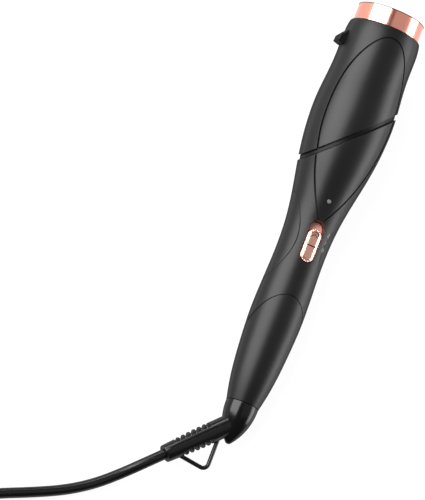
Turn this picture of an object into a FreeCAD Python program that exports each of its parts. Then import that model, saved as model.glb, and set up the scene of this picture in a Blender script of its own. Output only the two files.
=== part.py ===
"""Hot-air hair styler with a twist head, as a parametric FreeCAD document.

The styler is drawn straight, along Y, with its front towards +Z and the middle of
the outlet's edge at the origin, and is then laid on its back on the table.
All lengths are in millimetres and all angles in degrees.
"""
import FreeCAD, Part
import math
import os
import re

import Sketcher
from FreeCAD import Placement, Rotation, Vector

# ---------------------------------------------------------------- driving sizes
# Depths are measured down the styler from the outlet's edge.
SIZES = {
    # Casing profile: the depth of each station and the casing's radius there.
    "mouth_depth": 12.0, "mouth_radius": 23.9,
    "brow_depth": 33.0, "brow_radius": 25.1,
    "flare_depth": 57.0, "flare_radius": 26.5,
    "bulge_depth": 73.0, "bulge_radius": 27.4,
    "hip_depth": 89.0, "hip_radius": 26.7,
    "shoulder_depth": 105.0, "shoulder_radius": 24.8,
    "taper_depth": 125.0, "taper_radius": 21.2,
    "thumb_depth": 149.0, "thumb_radius": 17.5,
    "waist_depth": 172.0, "waist_radius": 16.5,
    "grip_depth": 193.0, "grip_radius": 17.1,
    "palm_depth": 211.0, "palm_radius": 17.65,
    "heel_depth": 229.0, "heel_radius": 17.15,
    "cuff_depth": 253.0, "cuff_radius": 15.3,
    "tail_depth": 268.0, "tail_radius": 13.15,
    "foot_depth": 278.0, "foot_radius": 11.1,
    "wall": 2.0, "panel_thickness": 1.2, "lining": 0.5, "mouth_round": 1.4,
    # Twist joint: its centre, its slant and the gap that shows.
    "joint_side": 1.8, "joint_depth": 86.2, "joint_angle": 45.0, "joint_gap": 3.2,
    "spigot_radius": 19.9, "spigot_wall": 2.0, "spigot_reach": 9.4,
    "collar_plate": 3.2, "seal_gap": 0.25,
    "running_gap": 0.08, "seat_gap": 0.3,
    "clip_groove": 0.7, "clip_radius": 22.4, "clip_thickness": 2.0,
    # Front panel: an ellipse over the head and a pointed leaf down the handle.
    "leaf_depth": 75.0, "leaf_half_width": 22.4, "leaf_rise": 55.0, "leaf_tuck": 2.0,
    "leaf_groove": 0.9, "leaf_start": 3.0,
    # Outlet.
    "outlet_radius": 22.5, "outlet_wall": 1.6, "outlet_spigot": 6.0,
    "ring_play": 0.1, "outlet_lower_wall": 0.5, "edge_break": 0.3,
    "grille_depth": 8.0, "grille_thickness": 2.0, "grille_rib": 1.0, "grille_hub": 3.0,
    # Heater.
    "heater_radius": 17.0, "heater_wall": 0.6, "heater_length": 42.0,
    "heater_flange": 1.5, "heater_flange_radius": 21.9,
    "mica_thickness": 0.8, "mica_half_width": 14.5, "mica_tab": 4.0,
    "mica_length": 36.0, "mica_inset": 1.5,
    "element_wire": 0.7, "element_pitch": 3.6, "element_turns": 7.0,
    "thermostat_width": 8.0, "thermostat_length": 10.0, "thermostat_height": 5.0,
    "fuse_radius": 1.6, "fuse_length": 12.0, "fuse_side": 7.0,
    # Attachment latch.
    "latch_depth": 26.8, "latch_length": 9.6, "latch_width": 10.4, "latch_proud": 2.0,
    "latch_top": 4.1, "latch_slant": 4.8, "latch_lip": 3.5, "latch_edge": 0.9,
    "latch_flange": 1.0, "latch_flange_grip": 1.2, "latch_seat": 0.35, "latch_play": 0.3,
    "latch_travel": 2.5, "leaf_spring": 0.4,
    # Switch.
    "switch_drop": 77.4, "bezel_length": 30.0, "bezel_width": 11.2, "bezel_wall": 0.7,
    "bezel_floor": 1.2, "bezel_seat": 11.0, "switch_play": 0.25,
    "slider_length": 22.4, "slider_proud": 0.5, "switch_travel": 5.5,
    "slider_rim": 1.3, "slider_groove": 0.5, "slider_round": 0.3,
    "stem_width": 2.6, "stem_length": 4.0, "stem_depth": 1.8,
    "contact_width": 8.0, "contact_length": 20.0, "contact_height": 3.9,
    "board_thickness": 1.6, "board_half_width": 12.4, "board_length": 36.0,
    # Lamp and ion generator.
    "lamp_rise": 28.4, "lamp_radius": 1.3,
    "ion_rise": 16.2, "ion_length": 18.5, "ion_half_width": 7.2,
    "ion_height": 6.5, "ion_top": 15.5,
    # Grip pads.
    "pad_drop": 0.4, "pad_half_length": 30.0, "pad_half_height": 13.5, "pad_seam": 0.3,
    # Fan and motor.
    "fan_drop": 26.4, "duct_play": 0.05, "duct_wall": 0.7, "duct_length": 15.0,
    "blade_play": 0.4, "impeller_length": 9.0, "hub_radius": 5.2,
    "blade_thickness": 0.9, "blade_pitch": 38.0,
    "motor_radius": 11.5, "motor_length": 30.0, "motor_cup": 1.2, "motor_cup_length": 12.0,
    "vane_thickness": 1.2, "shaft_radius": 1.0, "shaft_length": 22.0,
    # Air-intake cover.
    "arch_depth": 226.0, "arch_rise": 24.0, "arch_half_width": 17.4, "arch_seam": 0.4,
    "foot_wall": 3.0, "slot_width": 1.8, "slot_length": 22.0, "slot_depth": 240.0,
    "slot_spread": 16.0,
    # Cord outlet.
    "neck_radius": 5.0, "cap_length": 27.4, "cap_radius": 11.0, "cap_arc": 41.0,
    "cap_gap": 0.4, "cap_nose": 2.0, "cap_tip": 0.9, "neck_groove": 0.8, "neck_clip": 1.2,
    "relief_depth": 290.0, "relief_angle": 43.4, "relief_root": 5.0, "relief_length": 54.0,
    "relief_root_radius": 6.9, "relief_end_radius": 5.85, "relief_edge": 0.6,
    "relief_taper": 26.0, "rib_pitch": 4.06, "rib_gap": 1.7, "rib_start": 18.4, "rib_spine": 7.6,
    "seam_width": 0.6, "seam_depth": 0.4, "seam_side": 1.9, "seam_margin": 5.2,
    "loop_wire": 1.4, "loop_corner": 4.0,
    # Screws.
    "screw_radius": 1.25, "screw_head": 2.6, "screw_head_height": 1.8, "screw_length": 15.0,
    "boss_wall": 1.4, "screw_seat": 8.0, "screw_rise": 22.0, "screw_drop": 22.6,
    # Cord and plug.
    "cord_radius": 3.5, "coil_radius": 40.0, "coil_half_width": 10.5, "coil_height": 14.0,
    "tie_thickness": 1.2, "tie_width": 9.0, "tie_bite": 0.3,
    "plug_width": 35.3, "plug_height": 24.0, "plug_length": 22.0, "plug_nose": 16.0,
    "pin_radius": 2.4, "pin_length": 19.0, "pin_spacing": 19.0,
}
# Sizes that follow others; they may be named in any expression.
FOLLOWING = {
    "switch_depth": "joint_depth + switch_drop",
    "leaf_reach": "switch_depth - bezel_length / 2 + leaf_tuck - leaf_depth",
    "leaf_arc": "(leaf_reach ^ 2 / leaf_half_width + leaf_half_width) / 2",
    "lamp_depth": "switch_depth - lamp_rise",
    "ion_depth": "lamp_depth - ion_rise",
    "pad_depth": "switch_depth + pad_drop",
    "fan_depth": "switch_depth + fan_drop",
    "upper_screw_depth": "switch_depth - screw_rise",
    "lower_screw_depth": "switch_depth + screw_drop",
    "duct_radius": "waist_radius - wall - duct_play",
    "impeller_radius": "duct_radius - duct_wall - blade_play",
    "ring_seat": "mouth_radius - wall - ring_play",
    "latch_reach": "brow_radius + latch_travel + latch_proud",
}
BLADES = 7
VANES = 6
SLOTS = 9
RELIEF_SLOTS = 7
SPOKES = 4

STATIONS = ("mouth", "brow", "flare", "bulge", "hip", "shoulder", "taper", "thumb",
            "waist", "grip", "palm", "heel", "cuff", "tail", "foot")

doc = FreeCAD.newDocument("TwistStyler")
sheet = doc.addObject("Spreadsheet::Sheet", "Sizes")
for row, (alias, number) in enumerate(SIZES.items(), start=1):
    sheet.set("A%d" % row, alias)
    sheet.set("B%d" % row, repr(number))
    sheet.setAlias("B%d" % row, alias)
doc.recompute()

AXIAL = Rotation(Vector(1, 0, 0), -90)          # local Z runs up the styler
EVERYWHERE = 200.0                              # larger than the whole styler's girth
nodes = {}


# ---------------------------------------------------------------- helpers
def bound(text):
    """Return an expression with each size in it read from the sheet."""
    def name(match):
        word = match.group()
        if word in FOLLOWING:
            return "(%s)" % bound(FOLLOWING[word])
        return "Sizes." + word if word in SIZES else word
    return re.sub(r"[a-z_]+", name, str(text))


def value(text):
    """Return the number that an expression of sizes gives."""
    result = sheet.evalExpression(bound(text))
    return float(getattr(result, "Value", result))


def bind(thing, **expressions):
    """Bind properties of an object to expressions of sizes."""
    for key, text in expressions.items():
        thing.setExpression(key.replace("__", "."), bound(text))
    return thing


def node(name, thing, local=None):
    """Register an object as the sub-part of that name, at its place on the styler."""
    thing.Label = name
    if local:
        thing.Placement = local
    nodes[name] = thing
    return thing


def box(name, x, y, z):
    """Return a box between two expressions on each axis."""
    solid = doc.addObject("Part::Box", name)
    bind(solid, Length="(%s) - (%s)" % (x[1], x[0]), Width="(%s) - (%s)" % (y[1], y[0]),
         Height="(%s) - (%s)" % (z[1], z[0]), Placement__Base__x=x[0],
         Placement__Base__y=y[0], Placement__Base__z=z[0])
    return solid


def rod(name, radius, length, x="0", y="0", z="0", turn=None):
    """Return a cylinder that runs up the styler, or along a turned axis."""
    solid = doc.addObject("Part::Cylinder", name)
    solid.Placement = Placement(Vector(), turn or AXIAL)
    bind(solid, Radius=radius, Height=length, Placement__Base__x=x,
         Placement__Base__y=y, Placement__Base__z=z)
    return solid


def cut(name, base, *tools):
    """Return the base less each tool."""
    for number, tool in enumerate(tools):
        result = doc.addObject("Part::Cut", "%s_cut%d" % (name, number))
        result.Base = base
        result.Tool = tool
        base = result
    return base


def common(name, *pieces):
    """Return what all the pieces share."""
    result = doc.addObject("Part::MultiCommon", name + "_common")
    result.Shapes = list(pieces)
    return result


def fuse(name, *pieces):
    """Return the pieces joined into one solid."""
    result = doc.addObject("Part::MultiFuse", name + "_fuse")
    result.Shapes = list(pieces)
    return result


def rounded(name, base, radius, chosen):
    """Return the base with a rounding on each edge that a test chooses."""
    result = doc.addObject("Part::Fillet", name)
    result.Base = base
    doc.recompute()
    size = value(radius)
    result.Edges = [(number, size, size)
                    for number, edge in enumerate(base.Shape.Edges, start=1) if chosen(edge)]
    return result


def profile(body, name, points, plane, arcs=None):
    """Draw a closed outline whose corners are bound to expressions of sizes.

    arcs maps the number of a side to its radius and to which way it bulges.
    """
    sketch = body.newObject("Sketcher::SketchObject", name)
    features = body.Origin.OriginFeatures
    sketch.AttachmentSupport = [(f, "") for f in features if f.Role == plane]
    sketch.MapMode = "FlatFace"
    corners = [Vector(value(x), value(y), 0) for x, y in points]
    total = len(corners)
    for side, start in enumerate(corners):
        end = corners[(side + 1) % total]
        if arcs and side in arcs:
            radius, bulge = arcs[side]
            half = (end - start) * 0.5
            across = Vector(-half.y, half.x, 0).normalize() * bulge
            rise = value(radius) - math.sqrt(value(radius) ** 2 - half.Length ** 2)
            sketch.addGeometry(Part.Arc(start, start + half + across * rise, end))
        else:
            sketch.addGeometry(Part.LineSegment(start, end))
    ends = [(1, 2) if not arcs or side not in arcs else arc_ends(sketch, side, corners[side])
            for side in range(total)]
    for side in range(total):
        following = (side + 1) % total
        sketch.addConstraint(Sketcher.Constraint(
            "Coincident", side, ends[side][1], following, ends[following][0]))
    for side, (x, y) in enumerate(points):
        for kind, text in (("DistanceX", x), ("DistanceY", y)):
            number = sketch.addConstraint(Sketcher.Constraint(
                kind, -1, 1, side, ends[side][0], value(text)))
            sketch.setExpression("Constraints[%d]" % number, bound(text))
    for side, (radius, bulge) in (arcs or {}).items():
        number = sketch.addConstraint(Sketcher.Constraint("Radius", side, value(radius)))
        sketch.setExpression("Constraints[%d]" % number, bound(radius))
    return sketch


def arc_ends(sketch, side, start):
    """Return which end of an arc is its start, and which its end."""
    first = sketch.getPoint(side, 1)
    return (1, 2) if first.distanceToPoint(start) < 1e-6 else (2, 1)


def turned(name, points, arcs=None):
    """Return a body turned about its own Z, from an outline of radius and height."""
    body = doc.addObject("PartDesign::Body", name)
    sketch = profile(body, name + "_outline", points, "XZ_Plane", arcs)
    feature = body.newObject("PartDesign::Revolution", name + "_turned")
    feature.Profile = sketch
    feature.ReferenceAxis = (sketch, ["V_Axis"])
    feature.Angle = 360.0
    return body


def padded(name, points, height, plane="XY_Plane", arcs=None, middle=True):
    """Return a body padded from a flat outline."""
    body = doc.addObject("PartDesign::Body", name)
    sketch = profile(body, name + "_outline", points, plane, arcs)
    feature = body.newObject("PartDesign::Pad", name + "_pad")
    feature.Profile = sketch
    feature.SideType = "Symmetric" if middle else "One side"
    bind(feature, Length=height)
    return body


def stadium(name, width, length, low, high, depth="switch_depth"):
    """Return a prism with round ends, standing along Z over the styler's middle line."""
    half = "(%s) / 2" % width
    reach = "(%s) / 2 - %s" % (length, half)
    turn = Rotation()
    height = "(%s) - (%s)" % (high, low)
    upper = rod(name + "_upper", half, height, "0", "-%s + %s" % (depth, reach), low, turn)
    lower = rod(name + "_lower", half, height, "0", "-%s - (%s)" % (depth, reach), low, turn)
    middle = box(name + "_middle", ("-" + half, half),
                 ("-%s - (%s)" % (depth, reach), "-%s + %s" % (depth, reach)), (low, high))
    return fuse(name, upper, lower, middle)


def oval(name, across, along, y, x_axis, low, high):
    """Return an elliptical prism across the styler; its long axis lies along Y."""
    outline = doc.addObject("Part::Ellipse", name + "_outline")
    normal = Vector(1, 0, 0) if x_axis else Vector(0, 0, 1)
    cross = Vector(0, 0, -1) if x_axis else Vector(-1, 0, 0)
    turn = Rotation(Vector(0, 1, 0), cross, normal, "ZXY")
    outline.Placement = Placement(Vector(), turn)
    bind(outline, MajorRadius=along, MinorRadius=across, Placement__Base__y=y)
    if x_axis:
        bind(outline, Placement__Base__x=low)
    else:
        bind(outline, Placement__Base__z=low)
    prism = doc.addObject("Part::Extrusion", name)
    prism.Base = outline
    prism.DirMode = "Custom"
    prism.Dir = normal
    prism.Solid = True
    bind(prism, LengthFwd="(%s) - (%s)" % (high, low))
    return prism


# ---------------------------------------------------------------- casing skins
def skin(name, inset):
    """Return the solid inside the casing's surface, drawn in by an inset."""
    rings = []
    for station in STATIONS:
        ring = doc.addObject("Part::Circle", "%s_%s" % (name, station))
        ring.Placement = Placement(Vector(), AXIAL)
        bind(ring, Radius="%s_radius - %s" % (station, inset),
             Placement__Base__y="-%s_depth" % station)
        rings.append(ring)
    loft = doc.addObject("Part::Loft", name)
    loft.Sections = rings
    loft.Solid = True
    loft.Ruled = False
    return loft


outside = skin("Outside", "0")
panel_bed = skin("PanelBed", "panel_thickness")
inside = skin("Inside", "wall")
lined = skin("Lined", "(wall + lining)")


# ---------------------------------------------------------------- twist joint
def joint_place(along="0"):
    """Return the place at the joint's centre, local Z towards the head, moved along it."""
    slant = math.radians(value("joint_angle"))
    to_head = Vector(-math.sin(slant), math.cos(slant), 0)
    centre = Vector(value("joint_side"), -value("joint_depth"), 0)
    return Placement(centre + to_head * value(along), Rotation(Vector(0, 0, 1), to_head))


def slab(name, low, high):
    """Return everything between two heights above the joint's plane."""
    block = doc.addObject("Part::Box", name)
    bind(block, Height="(%s) - (%s)" % (high, low))
    block.Length = EVERYWHERE
    block.Width = EVERYWHERE
    centre = Placement(Vector(-EVERYWHERE / 2, -EVERYWHERE / 2, 0), Rotation())
    block.Placement = joint_place(low).multiply(centre)
    return block


def joint_rod(name, radius, low, high):
    """Return a cylinder on the joint's axis, between two heights above its plane."""
    solid = doc.addObject("Part::Cylinder", name)
    bind(solid, Radius=radius, Height="(%s) - (%s)" % (high, low))
    solid.Placement = joint_place(low)
    return solid


head_solid = common("HeadSolid", outside, slab("HeadSide", "joint_gap / 2", "300"))
handle_solid = common("HandleSolid", outside, slab("HandleSide", "-300", "-joint_gap / 2"))
front_half = box("FrontHalf", ("-100", "100"), ("-400", "100"), ("0", "100"))
rear_half = box("RearHalf", ("-100", "100"), ("-400", "100"), ("-100", "0"))


def head_collar():
    """The oval plate that closes the head and fills the joint, and its hollow spigot."""
    face = "joint_gap / 2"
    plate = common("HeadPlate", inside, slab("HeadPlateSlab", face, face + " + collar_plate"))
    seal = common("HeadSeal", panel_bed, slab("HeadSealSlab", "-%s + seal_gap" % face, face))
    spigot = joint_rod("Spigot", "spigot_radius", "-spigot_reach", face)
    groove_top = "-%s - collar_plate - seat_gap" % face
    groove = cut("SpigotGroove",
                 joint_rod("SpigotGrooveOut", "spigot_radius + 1", groove_top + " - clip_thickness",
                           groove_top),
                 joint_rod("SpigotGrooveIn", "spigot_radius - clip_groove",
                           groove_top + " - clip_thickness", groove_top))
    bore = joint_rod("SpigotBore", "spigot_radius - spigot_wall", "-spigot_reach - 1",
                     face + " + collar_plate + 1")
    node("head_swivel_collar",
         cut("HeadCollar", fuse("HeadCollar", plate, seal, spigot), groove, bore))
    clip = cut("SwivelRetainer",
               joint_rod("ClipOut", "clip_radius", groove_top + " - clip_thickness", groove_top),
               joint_rod("ClipIn", "spigot_radius - clip_groove", groove_top + " - clip_thickness",
                         groove_top))
    node("swivel_retainer", clip)


def handle_collar():
    """The oval plate with the round bearing that the head's spigot turns in."""
    top = "-joint_gap / 2"
    plate = common("HandlePlate", inside,
                   slab("HandlePlateSlab", top + " - collar_plate", top))
    bore = joint_rod("HandleBore", "spigot_radius + running_gap", top + " - collar_plate - 1",
                     top + " + 1")
    node("handle_swivel_collar", cut("HandleCollar", plate, bore))


# ---------------------------------------------------------------- leaf panels
def head_leaf(name, grow, front=True):
    """Return the prism of the head panel's round end, in front or behind."""
    low, high = ("leaf_start", "60") if front else ("-60", "-leaf_start")
    return oval(name, "leaf_half_width + %s" % grow, "leaf_rise + %s" % grow,
                "-leaf_depth", False, low, high)


def handle_leaf(name, grow):
    """Return the prism of the handle panel's pointed end: where two wide arcs meet."""
    sides = []
    for side in ("-", ""):
        sides.append(rod(name + ("_left" if side else "_right"), "leaf_arc + %s" % grow,
                         "60", "%s(leaf_arc - leaf_half_width)" % side, "-leaf_depth",
                         "leaf_start", Rotation()))
    return common(name, *sides)


# ---------------------------------------------------------------- head
def latch_window():
    """Return the opening in the head's side that the latch moves through."""
    return box("LatchWindow", ("-latch_reach - latch_travel", "-heater_radius - latch_flange"),
               ("-latch_depth - latch_length / 2 - latch_play",
                "-latch_depth + latch_length / 2 + latch_play"),
               ("-latch_width / 2 - latch_play", "latch_width / 2 + latch_play"))


def head_shells():
    """The head's one-piece casing and the two panels let into it."""
    rim = rounded("HeadRim", cut("HeadTube", head_solid, inside),
                  "min(mouth_round; wall * 0.8)",
                  lambda edge: edge.BoundBox.YMin > -value("mouth_depth") - 0.01
                  and edge.BoundBox.XMax > value("mouth_radius") - 0.1)
    recesses = [cut("HeadRecess%s" % name, head_leaf("HeadLeafWide%s" % name, "leaf_groove", front),
                    panel_bed) for name, front in (("Front", True), ("Rear", False))]
    node("head_casing", cut("HeadCasing", rim, latch_window(), *recesses))
    for name, front in (("head_panel", True), ("head_rear_panel", False)):
        leaf = head_leaf(name + "_leaf", "0", front)
        node(name, cut(name, common(name, head_solid, leaf), panel_bed))


def outlet():
    """The metal outlet collar that attachments slide over, and the grille inside it."""
    inner = "outlet_radius - outlet_wall"
    lower = "ring_seat - outlet_lower_wall"
    ring = turned("OutletRing", [
        (inner, "-edge_break"), (inner + " + edge_break", "0"),
        ("outlet_radius - edge_break", "0"), ("outlet_radius", "-edge_break"),
        ("outlet_radius", "-mouth_depth"), ("ring_seat", "-mouth_depth"),
        ("ring_seat", "-mouth_depth - outlet_spigot"),
        (lower, "-mouth_depth - outlet_spigot"), (lower, "-grille_depth"),
        (inner, "-grille_depth")])
    node("outlet_ring", ring, Placement(Vector(), AXIAL))
    rib = "grille_rib"
    level = "-grille_depth - grille_thickness"
    bore = lower + " - 0.03"
    pieces = [rod("GrilleHub", "grille_hub", "grille_thickness", y=level)]
    for number, share in enumerate(("1", "0.66", "0.33")):
        outer = "grille_hub + (%s - grille_hub) * %s" % (bore, share)
        pieces.append(cut("GrilleHoop%d" % number,
                          rod("GrilleHoopOut%d" % number, outer, "grille_thickness", y=level),
                          rod("GrilleHoopIn%d" % number, "%s - %s" % (outer, rib),
                              "grille_thickness", y=level)))
    for number in range(SPOKES):
        spoke = doc.addObject("Part::Box", "GrilleSpoke%d" % number)
        bind(spoke, Length="2 * (%s) - %s" % (bore, rib), Width="grille_thickness", Height=rib)
        spin = Rotation(Vector(0, 1, 0), 180.0 * number / SPOKES)
        start = spin.multVec(Vector(-value("%s - %s / 2" % (bore, rib)), 0, -value(rib) / 2))
        spoke.Placement = Placement(start + Vector(0, value(level), 0), spin)
        pieces.append(spoke)
    node("outlet_grille", fuse("OutletGrille", *pieces))


def heater():
    """The mica sleeve, crossed boards, wound element and its two cut-outs."""
    top = "(mouth_depth + outlet_spigot)"
    inner = "heater_radius - heater_wall"
    sleeve = turned("HeaterTube", [
        (inner, "-" + top), ("heater_flange_radius", "-" + top),
        ("heater_flange_radius", "-%s - heater_flange" % top),
        ("heater_radius", "-%s - heater_flange" % top),
        ("heater_radius", "-%s - heater_length" % top), (inner, "-%s - heater_length" % top)])
    node("heater_tube", sleeve, Placement(Vector(), AXIAL))
    start = "(%s + mica_inset)" % top
    half = "mica_thickness / 2"
    tab = "(%s - 0.05)" % inner
    plates = []
    for name, wide_x in (("Flat", True), ("Upright", False)):
        for part, reach, low, high in (
                ("Tab", tab, "-%s - mica_tab" % start, "-" + start),
                ("Web", "mica_half_width", "-%s - mica_length" % start, "-%s - mica_tab" % start)):
            wide = ("-" + reach, reach)
            thin = ("-" + half, half)
            plates.append(box("Mica%s%s" % (name, part), wide if wide_x else thin, (low, high),
                              thin if wide_x else wide))
    node("heater_boards", fuse("HeaterBoards", *plates))
    coil = doc.addObject("Part::Helix", "ElementPath")
    bind(coil, Pitch="element_pitch", Height="element_pitch * element_turns",
         Radius="mica_half_width + element_wire / 2 + 0.05")
    coil.Placement = Placement(Vector(0, -value("%s + mica_length - 1.5" % start), 0), AXIAL)
    section = doc.addObject("Part::Plane", "ElementSection")
    bind(section, Length="element_wire", Width="element_wire")
    corner = Vector(value("mica_half_width + 0.05"),
                    -value("%s + mica_length - 1.5 + element_wire / 2" % start), 0)
    section.Placement = Placement(corner, Rotation())
    wire = doc.addObject("Part::Sweep", "Element")
    wire.Sections = [section]
    wire.Spine = (coil, [])
    wire.Solid = True
    wire.Frenet = True
    node("heater_coil", wire)
    depth = "(%s + mica_length - 2)" % start
    node("thermostat", box("Thermostat", (half, half + " + thermostat_width"),
                           ("-" + depth, "-%s + thermostat_length" % depth),
                           (half, half + " + thermostat_height")))
    node("thermal_fuse", rod("ThermalFuse", "fuse_radius", "fuse_length", "-fuse_side",
                             "-" + depth, half + " + fuse_radius"))


def latch():
    """The sprung button that frees an attachment, and its leaf spring."""
    reach = "latch_reach"
    bore = "((mouth_radius + brow_radius) / 2 - wall)"
    shelf = "sqrt(%s ^ 2 - (latch_width / 2 + latch_flange_grip) ^ 2)" % bore
    ring_side = "-latch_depth + latch_length / 2"
    heel = "-latch_depth - latch_length / 2"
    button = padded("LatchButton", [
        ("-(%s) + latch_flange / 2" % shelf, ring_side), ("-%s + latch_top" % reach, ring_side),
        ("-%s + latch_edge / 3" % reach, ring_side + " - latch_slant"),
        ("-%s" % reach, heel + " + latch_edge"), ("-%s + latch_lip" % reach, heel),
        ("-(%s) + latch_flange / 2" % shelf, heel)], "latch_width")
    faces = rounded("LatchFaces", button, "latch_edge",
                    lambda edge: edge.BoundBox.ZLength < 0.01
                    and edge.BoundBox.XMax < -value(reach + " - latch_top") + 0.01)
    flange = box("LatchFlange", ("-(%s) + latch_seat" % shelf, "-(%s) + latch_seat + latch_flange" % shelf),
                 (heel + " - latch_flange_grip", ring_side + " + latch_flange_grip"),
                 ("-latch_width / 2 - latch_flange_grip", "latch_width / 2 + latch_flange_grip"))
    node("latch_knob", fuse("LatchKnob", faces, flange))
    foot = "-heater_radius - 0.05"
    crest = "-(%s) + latch_seat + latch_flange + latch_play / 3" % shelf
    thick = "leaf_spring"
    low, mid = "-latch_depth - latch_length / 2", "-latch_depth - latch_length / 6"
    high, rise = "-latch_depth + latch_length / 2", "-latch_depth + latch_length / 6"
    strip = padded("LeafSpring", [
        (foot, low), (foot, low + " + 1.4"), (crest + " + " + thick, mid + " + 0.3"),
        (crest + " + " + thick, rise + " - 0.3"), (foot, high + " - 1.4"), (foot, high),
        (foot + " - " + thick, high), (foot + " - " + thick, high + " - 1.2"),
        (crest, rise), (crest, mid), (foot + " - " + thick, low + " + 1.2"),
        (foot + " - " + thick, low)], "5")
    node("latch_spring", strip)


# ---------------------------------------------------------------- handle
def arch(name, grow):
    """Return the prism of the air-intake cover: an arch over everything below it."""
    dome = oval(name + "_dome", "arch_half_width + %s" % grow, "arch_rise + %s" % grow,
                "-arch_depth", False, "-60", "60")
    below = box(name + "_below", ("-60", "60"), ("-400", "-arch_depth + %s" % grow), ("-60", "60"))
    return fuse(name, dome, below)


def screw_hole(name, depth, radius, low, high):
    """Return a rod across the handle, on the line of a screw."""
    return rod(name, radius, "(%s) - (%s)" % (high, low), "0", "-" + depth, low, Rotation())


def handle_shells():
    """The front and rear handle shells, the leaf panel and the two grip pads."""
    tube = cut("HandleTube", handle_solid, inside, arch("ArchWide", "0"))
    pads = []
    for name, low, high in (("left", "-60", "-2"), ("right", "2", "60")):
        wide = oval("PadBed_" + name, "pad_half_height", "pad_half_length", "-pad_depth", True,
                    low, high)
        pads.append(cut("PadRecess_" + name, wide, panel_bed))
        inlay = oval("PadInlay_" + name, "pad_half_height - pad_seam",
                     "pad_half_length - pad_seam", "-pad_depth", True, low, high)
        node("grip_pad_" + name, cut("GripPad_" + name, common("Pad_" + name, outside, inlay),
                                     panel_bed))
    skinned = cut("HandleRecessed", tube, *pads)
    screws = (("Upper", "upper_screw_depth"), ("Lower", "lower_screw_depth"))
    boss = "screw_radius + boss_wall"
    front_posts = [screw_hole("FrontBoss" + name, depth, boss, "0", "40")
                   for name, depth in screws]
    rear_posts = [screw_hole("RearBoss" + name, depth, "screw_head + boss_wall", "-40", "0")
                  for name, depth in screws]
    leaf_recess = cut("HandleLeafRecess", handle_leaf("HandleLeafWide", "leaf_groove"), panel_bed)
    front_bosses = common("FrontBosses", fuse("FrontPosts", *front_posts), inside)
    rear_bosses = common("RearBosses", fuse("RearPosts", *rear_posts), inside)
    front = fuse("FrontShell", common("FrontSkin", skinned, front_half), front_bosses)
    front = cut("FrontShell", front, leaf_recess,
                stadium("SwitchWindow", "bezel_width + 0.1", "bezel_length + 0.1", "bezel_seat", "40"),
                screw_hole("LampHole", "lamp_depth", "lamp_radius + 0.1", "5", "40"),
                *[screw_hole("Pilot" + name, depth, "screw_radius", "-1", "screw_length - screw_seat")
                  for name, depth in screws])
    node("handle_front_shell", front)
    rear = fuse("RearShell", common("RearSkin", skinned, rear_half), rear_bosses)
    rear = cut("RearShell", rear,
               *[screw_hole("HeadWell" + name, depth, "screw_head + 0.1", "-40", "-screw_seat")
                 for name, depth in screws],
               *[screw_hole("Shank" + name, depth, "screw_radius + 0.1", "-40", "1")
                 for name, depth in screws])
    node("handle_rear_shell", rear)
    plate = common("HandlePanel", handle_solid, handle_leaf("HandleLeaf", "0"))
    node("handle_panel", cut("HandlePanel", plate, panel_bed,
                             stadium("PanelSwitchWindow", "bezel_width + 0.1",
                                     "bezel_length + 0.1", "5", "40"),
                             screw_hole("PanelLampHole", "lamp_depth", "lamp_radius + 0.1",
                                        "5", "40")))
    pairs = [fuse("Screw" + name,
                  screw_hole("ScrewHead" + name, depth, "screw_head",
                             "-screw_seat - screw_head_height", "-screw_seat"),
                  screw_hole("ScrewShank" + name, depth, "screw_radius - 0.02", "-screw_seat",
                             "screw_length - screw_seat - 1"))
             for name, depth in screws]
    group = doc.addObject("Part::Compound", "ShellScrews")
    group.Links = pairs
    node("shell_screws", group)


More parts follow.
